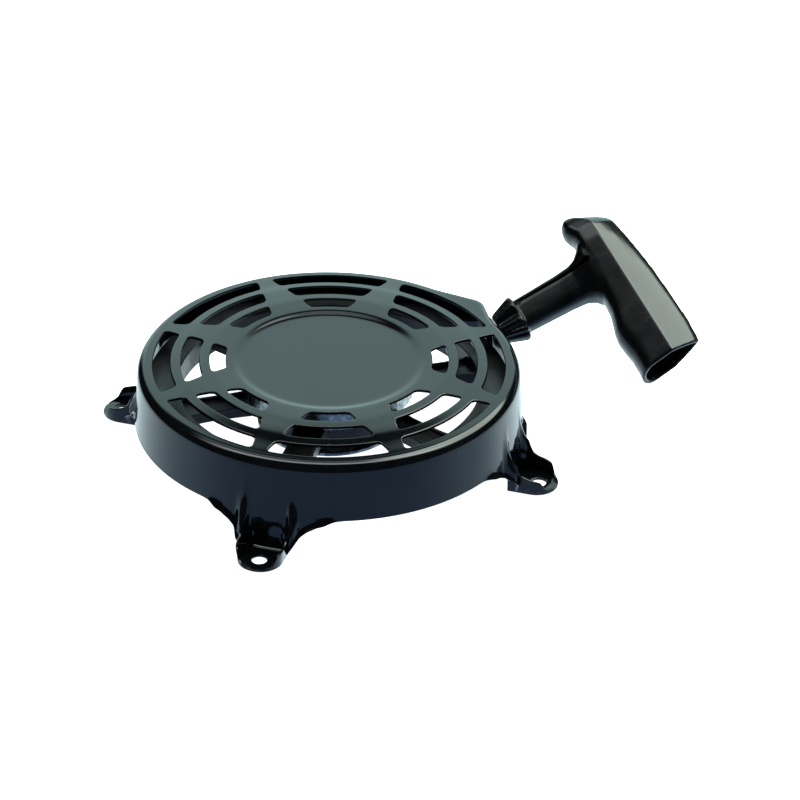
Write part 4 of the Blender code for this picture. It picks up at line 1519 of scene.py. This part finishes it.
class SkyBoard:
    """The world's nodes: brightness and colour by the direction from which light comes."""

    def __init__(self) -> None:
        """Starts an empty world."""
        world = bpy.data.worlds.new("studio")
        world.use_nodes = True
        bpy.context.scene.world = world
        self.tree = world.node_tree
        self.tree.nodes.clear()
        self.direction = self.tree.nodes.new("ShaderNodeTexCoord").outputs["Generated"]
        split = self.tree.nodes.new("ShaderNodeSeparateXYZ")
        self.tree.links.new(self.direction, split.inputs[0])
        self.x, self.y, self.z = split.outputs
        self.total: Socket | None = None

    def edge(self, source: Socket, low: float, high: float) -> Socket:
        """A soft edge.

        Args:
            source: what is compared, such as a direction's height.
            low: where the result is 0.
            high: where the result is 1, which may be the lower number.

        Returns:
            The share, 0 to 1.
        """
        node = self.tree.nodes.new("ShaderNodeMapRange")
        node.interpolation_type = "SMOOTHSTEP"
        self.tree.links.new(source, node.inputs["Value"])
        ends = (high, low, 1.0, 0.0) if low > high else (low, high, 0.0, 1.0)
        for name, value in zip(("From Min", "From Max", "To Min", "To Max"), ends):
            node.inputs[name].default_value = value
        return node.outputs[0]

    def towards(self, heading: Sequence[float]) -> Socket:
        """How well a direction points along a heading, up to 1.

        Args:
            heading: (x, y, z), of any length.

        Returns:
            The cosine of the angle between them.
        """
        node = self.tree.nodes.new("ShaderNodeVectorMath")
        node.operation = "DOT_PRODUCT"
        node.inputs[1].default_value = Vector(heading).normalized()
        self.tree.links.new(self.direction, node.inputs[0])
        return node.outputs["Value"]

    def glow(self, colour: tuple, *shares: Socket) -> None:
        """Adds a coloured area to the sky.

        Args:
            colour: its brightness in each channel.
            shares: soft edges, all multiplied.
        """
        links, nodes = self.tree.links, self.tree.nodes
        level = shares[0]
        for share in shares[1:]:
            node = nodes.new("ShaderNodeMath")
            node.operation = "MULTIPLY"
            links.new(level, node.inputs[0])
            links.new(share, node.inputs[1])
            level = node.outputs[0]
        scale = nodes.new("ShaderNodeVectorMath")
        scale.operation = "SCALE"
        scale.inputs[0].default_value = colour
        links.new(level, scale.inputs["Scale"])
        area = scale.outputs[0]
        if self.total is not None:
            both = nodes.new("ShaderNodeVectorMath")
            links.new(area, both.inputs[0])
            links.new(self.total, both.inputs[1])
            area = both.outputs[0]
        self.total = area

    def finish(self) -> None:
        """Joins the sky to the world's output."""
        background = self.tree.nodes.new("ShaderNodeBackground")
        self.tree.links.new(self.total, background.inputs["Color"])
        self.tree.links.new(background.outputs[0], self.tree.nodes.new("ShaderNodeOutputWorld").inputs[0])


@dataclass
class Studio:
    """A pale table, soft light from behind and above, and the camera."""

    distance: float = 2174.5
    elevation_deg: float = 30.897
    roll_deg: float = 0.525
    lens_mm: float = 200.34225
    sensor_mm: float = 36.0
    look_aside: tuple = (-0.0159360, -0.0083406)
    aim_z: float = -1.4
    table_z: float = -50.3
    table_half: float = 4000.0
    table_glow: float = 1.05
    side_box: tuple = ((0.50, 0.36, 0.78), (0.90, 0.945), (5.2, 6.0, 5.4))

    def camera(self) -> None:
        """Places the camera at its viewing angle."""
        e, roll = math.radians(self.elevation_deg), math.radians(self.roll_deg)
        back = Vector((0.0, -math.cos(e), math.sin(e)))
        right, up = Vector((1.0, 0.0, 0.0)), Vector((0.0, math.sin(e), math.cos(e)))
        right, up = right * math.cos(roll) + up * math.sin(roll), up * math.cos(roll) - right * math.sin(roll)
        forward = (-back - right * self.look_aside[0] + up * self.look_aside[1]).normalized()
        right = forward.cross(up).normalized()
        up = right.cross(forward)
        data = bpy.data.cameras.new("camera")
        data.sensor_width = self.sensor_mm
        data.lens = self.lens_mm
        data.clip_end = 50.0
        eye = bpy.data.objects.new("camera", data)
        turn = Matrix((right, up, -forward)).transposed().to_4x4()
        eye.matrix_world = Matrix.Translation((back * self.distance + Vector((0, 0, self.aim_z))) * MM) @ turn
        bpy.context.scene.collection.objects.link(eye)
        bpy.context.scene.camera = eye

    def table(self) -> None:
        """A pale, glowing table sheet under the ears' feet."""
        half = self.table_half
        corners = [(-half, -half), (half, -half), (half, half), (-half, half)]
        floor = mesh_piece("table", [(x, y, self.table_z) for x, y in corners], [(0, 1, 2, 3)])
        board = NodeBoard("pale_table")
        tone = board.blend(board.mottle(3.0), (0.93, 0.93, 0.93, 1), (0.95, 0.95, 0.95, 1))
        board.shader.inputs["Emission Color"].default_value = (1, 1, 1, 1)
        board.shader.inputs["Emission Strength"].default_value = self.table_glow
        floor.data.materials.append(board.finish(tone, 0.9))
        floor.visible_glossy = False

    def surroundings(self) -> None:
        """A bright wall behind, soft boxes overhead and at the right, a blue-grey ground, all else dark."""
        sky = SkyBoard()
        edge, glow, x, y, z = sky.edge, sky.glow, sky.x, sky.y, sky.z
        ground = edge(z, -0.16, -0.28)
        glow((0.010, 0.012, 0.015), edge(z, -0.5, 0.5))
        glow((0.22, 0.35, 0.62), ground)
        glow((0.36, 0.46, 0.40), ground, edge(y, -0.75, 0.10))
        glow((0.55, 0.62, 0.50), ground, edge(y, 0.0, 0.8))
        glow((0.30, 0.36, 0.38), ground, edge(y, 0.1, 0.7), edge(x, 0.1, 0.6))
        wall_sides = (edge(x, 0.50, 0.36), edge(x, -0.52, -0.38))
        glow((1.01, 1.44, 1.44), edge(y, 0.50, 0.72), edge(z, -0.26, 0.04), edge(z, 0.71, 0.62), *wall_sides)
        glow((1.05, 1.30, 1.32), edge(y, 0.15, 0.35), edge(z, 0.76, 0.84))
        overhead = (edge(y, 0.20, 0.10), edge(y, -0.17, -0.09), edge(x, -0.80, -0.45), edge(x, 0.85, 0.5))
        glow((5.2, 5.4, 5.4), *overhead, edge(z, 0.0, 0.3))
        heading, limits, colour = self.side_box
        glow(colour, edge(sky.towards(heading), *limits))
        sky.finish()

    def build(self) -> None:
        """Sets up the whole studio."""
        bpy.context.scene.view_settings.view_transform = "Standard"
        self.camera()
        self.table()
        self.surroundings()


def main() -> None:
    """Builds every piece of the starter and its studio."""
    logging.basicConfig(level=logging.INFO, format="%(message)s")
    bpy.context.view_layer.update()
    Studio().build()
    paint = Paintbox()
    grip = Grip(paint)
    Housing(paint).build()
    Pulley(paint).build()
    StarterRope(paint).build(grip)
    RewindSpring(paint).build()
    grip.build()
    Hardware(paint).build()


if __name__ == "__main__":
    main()
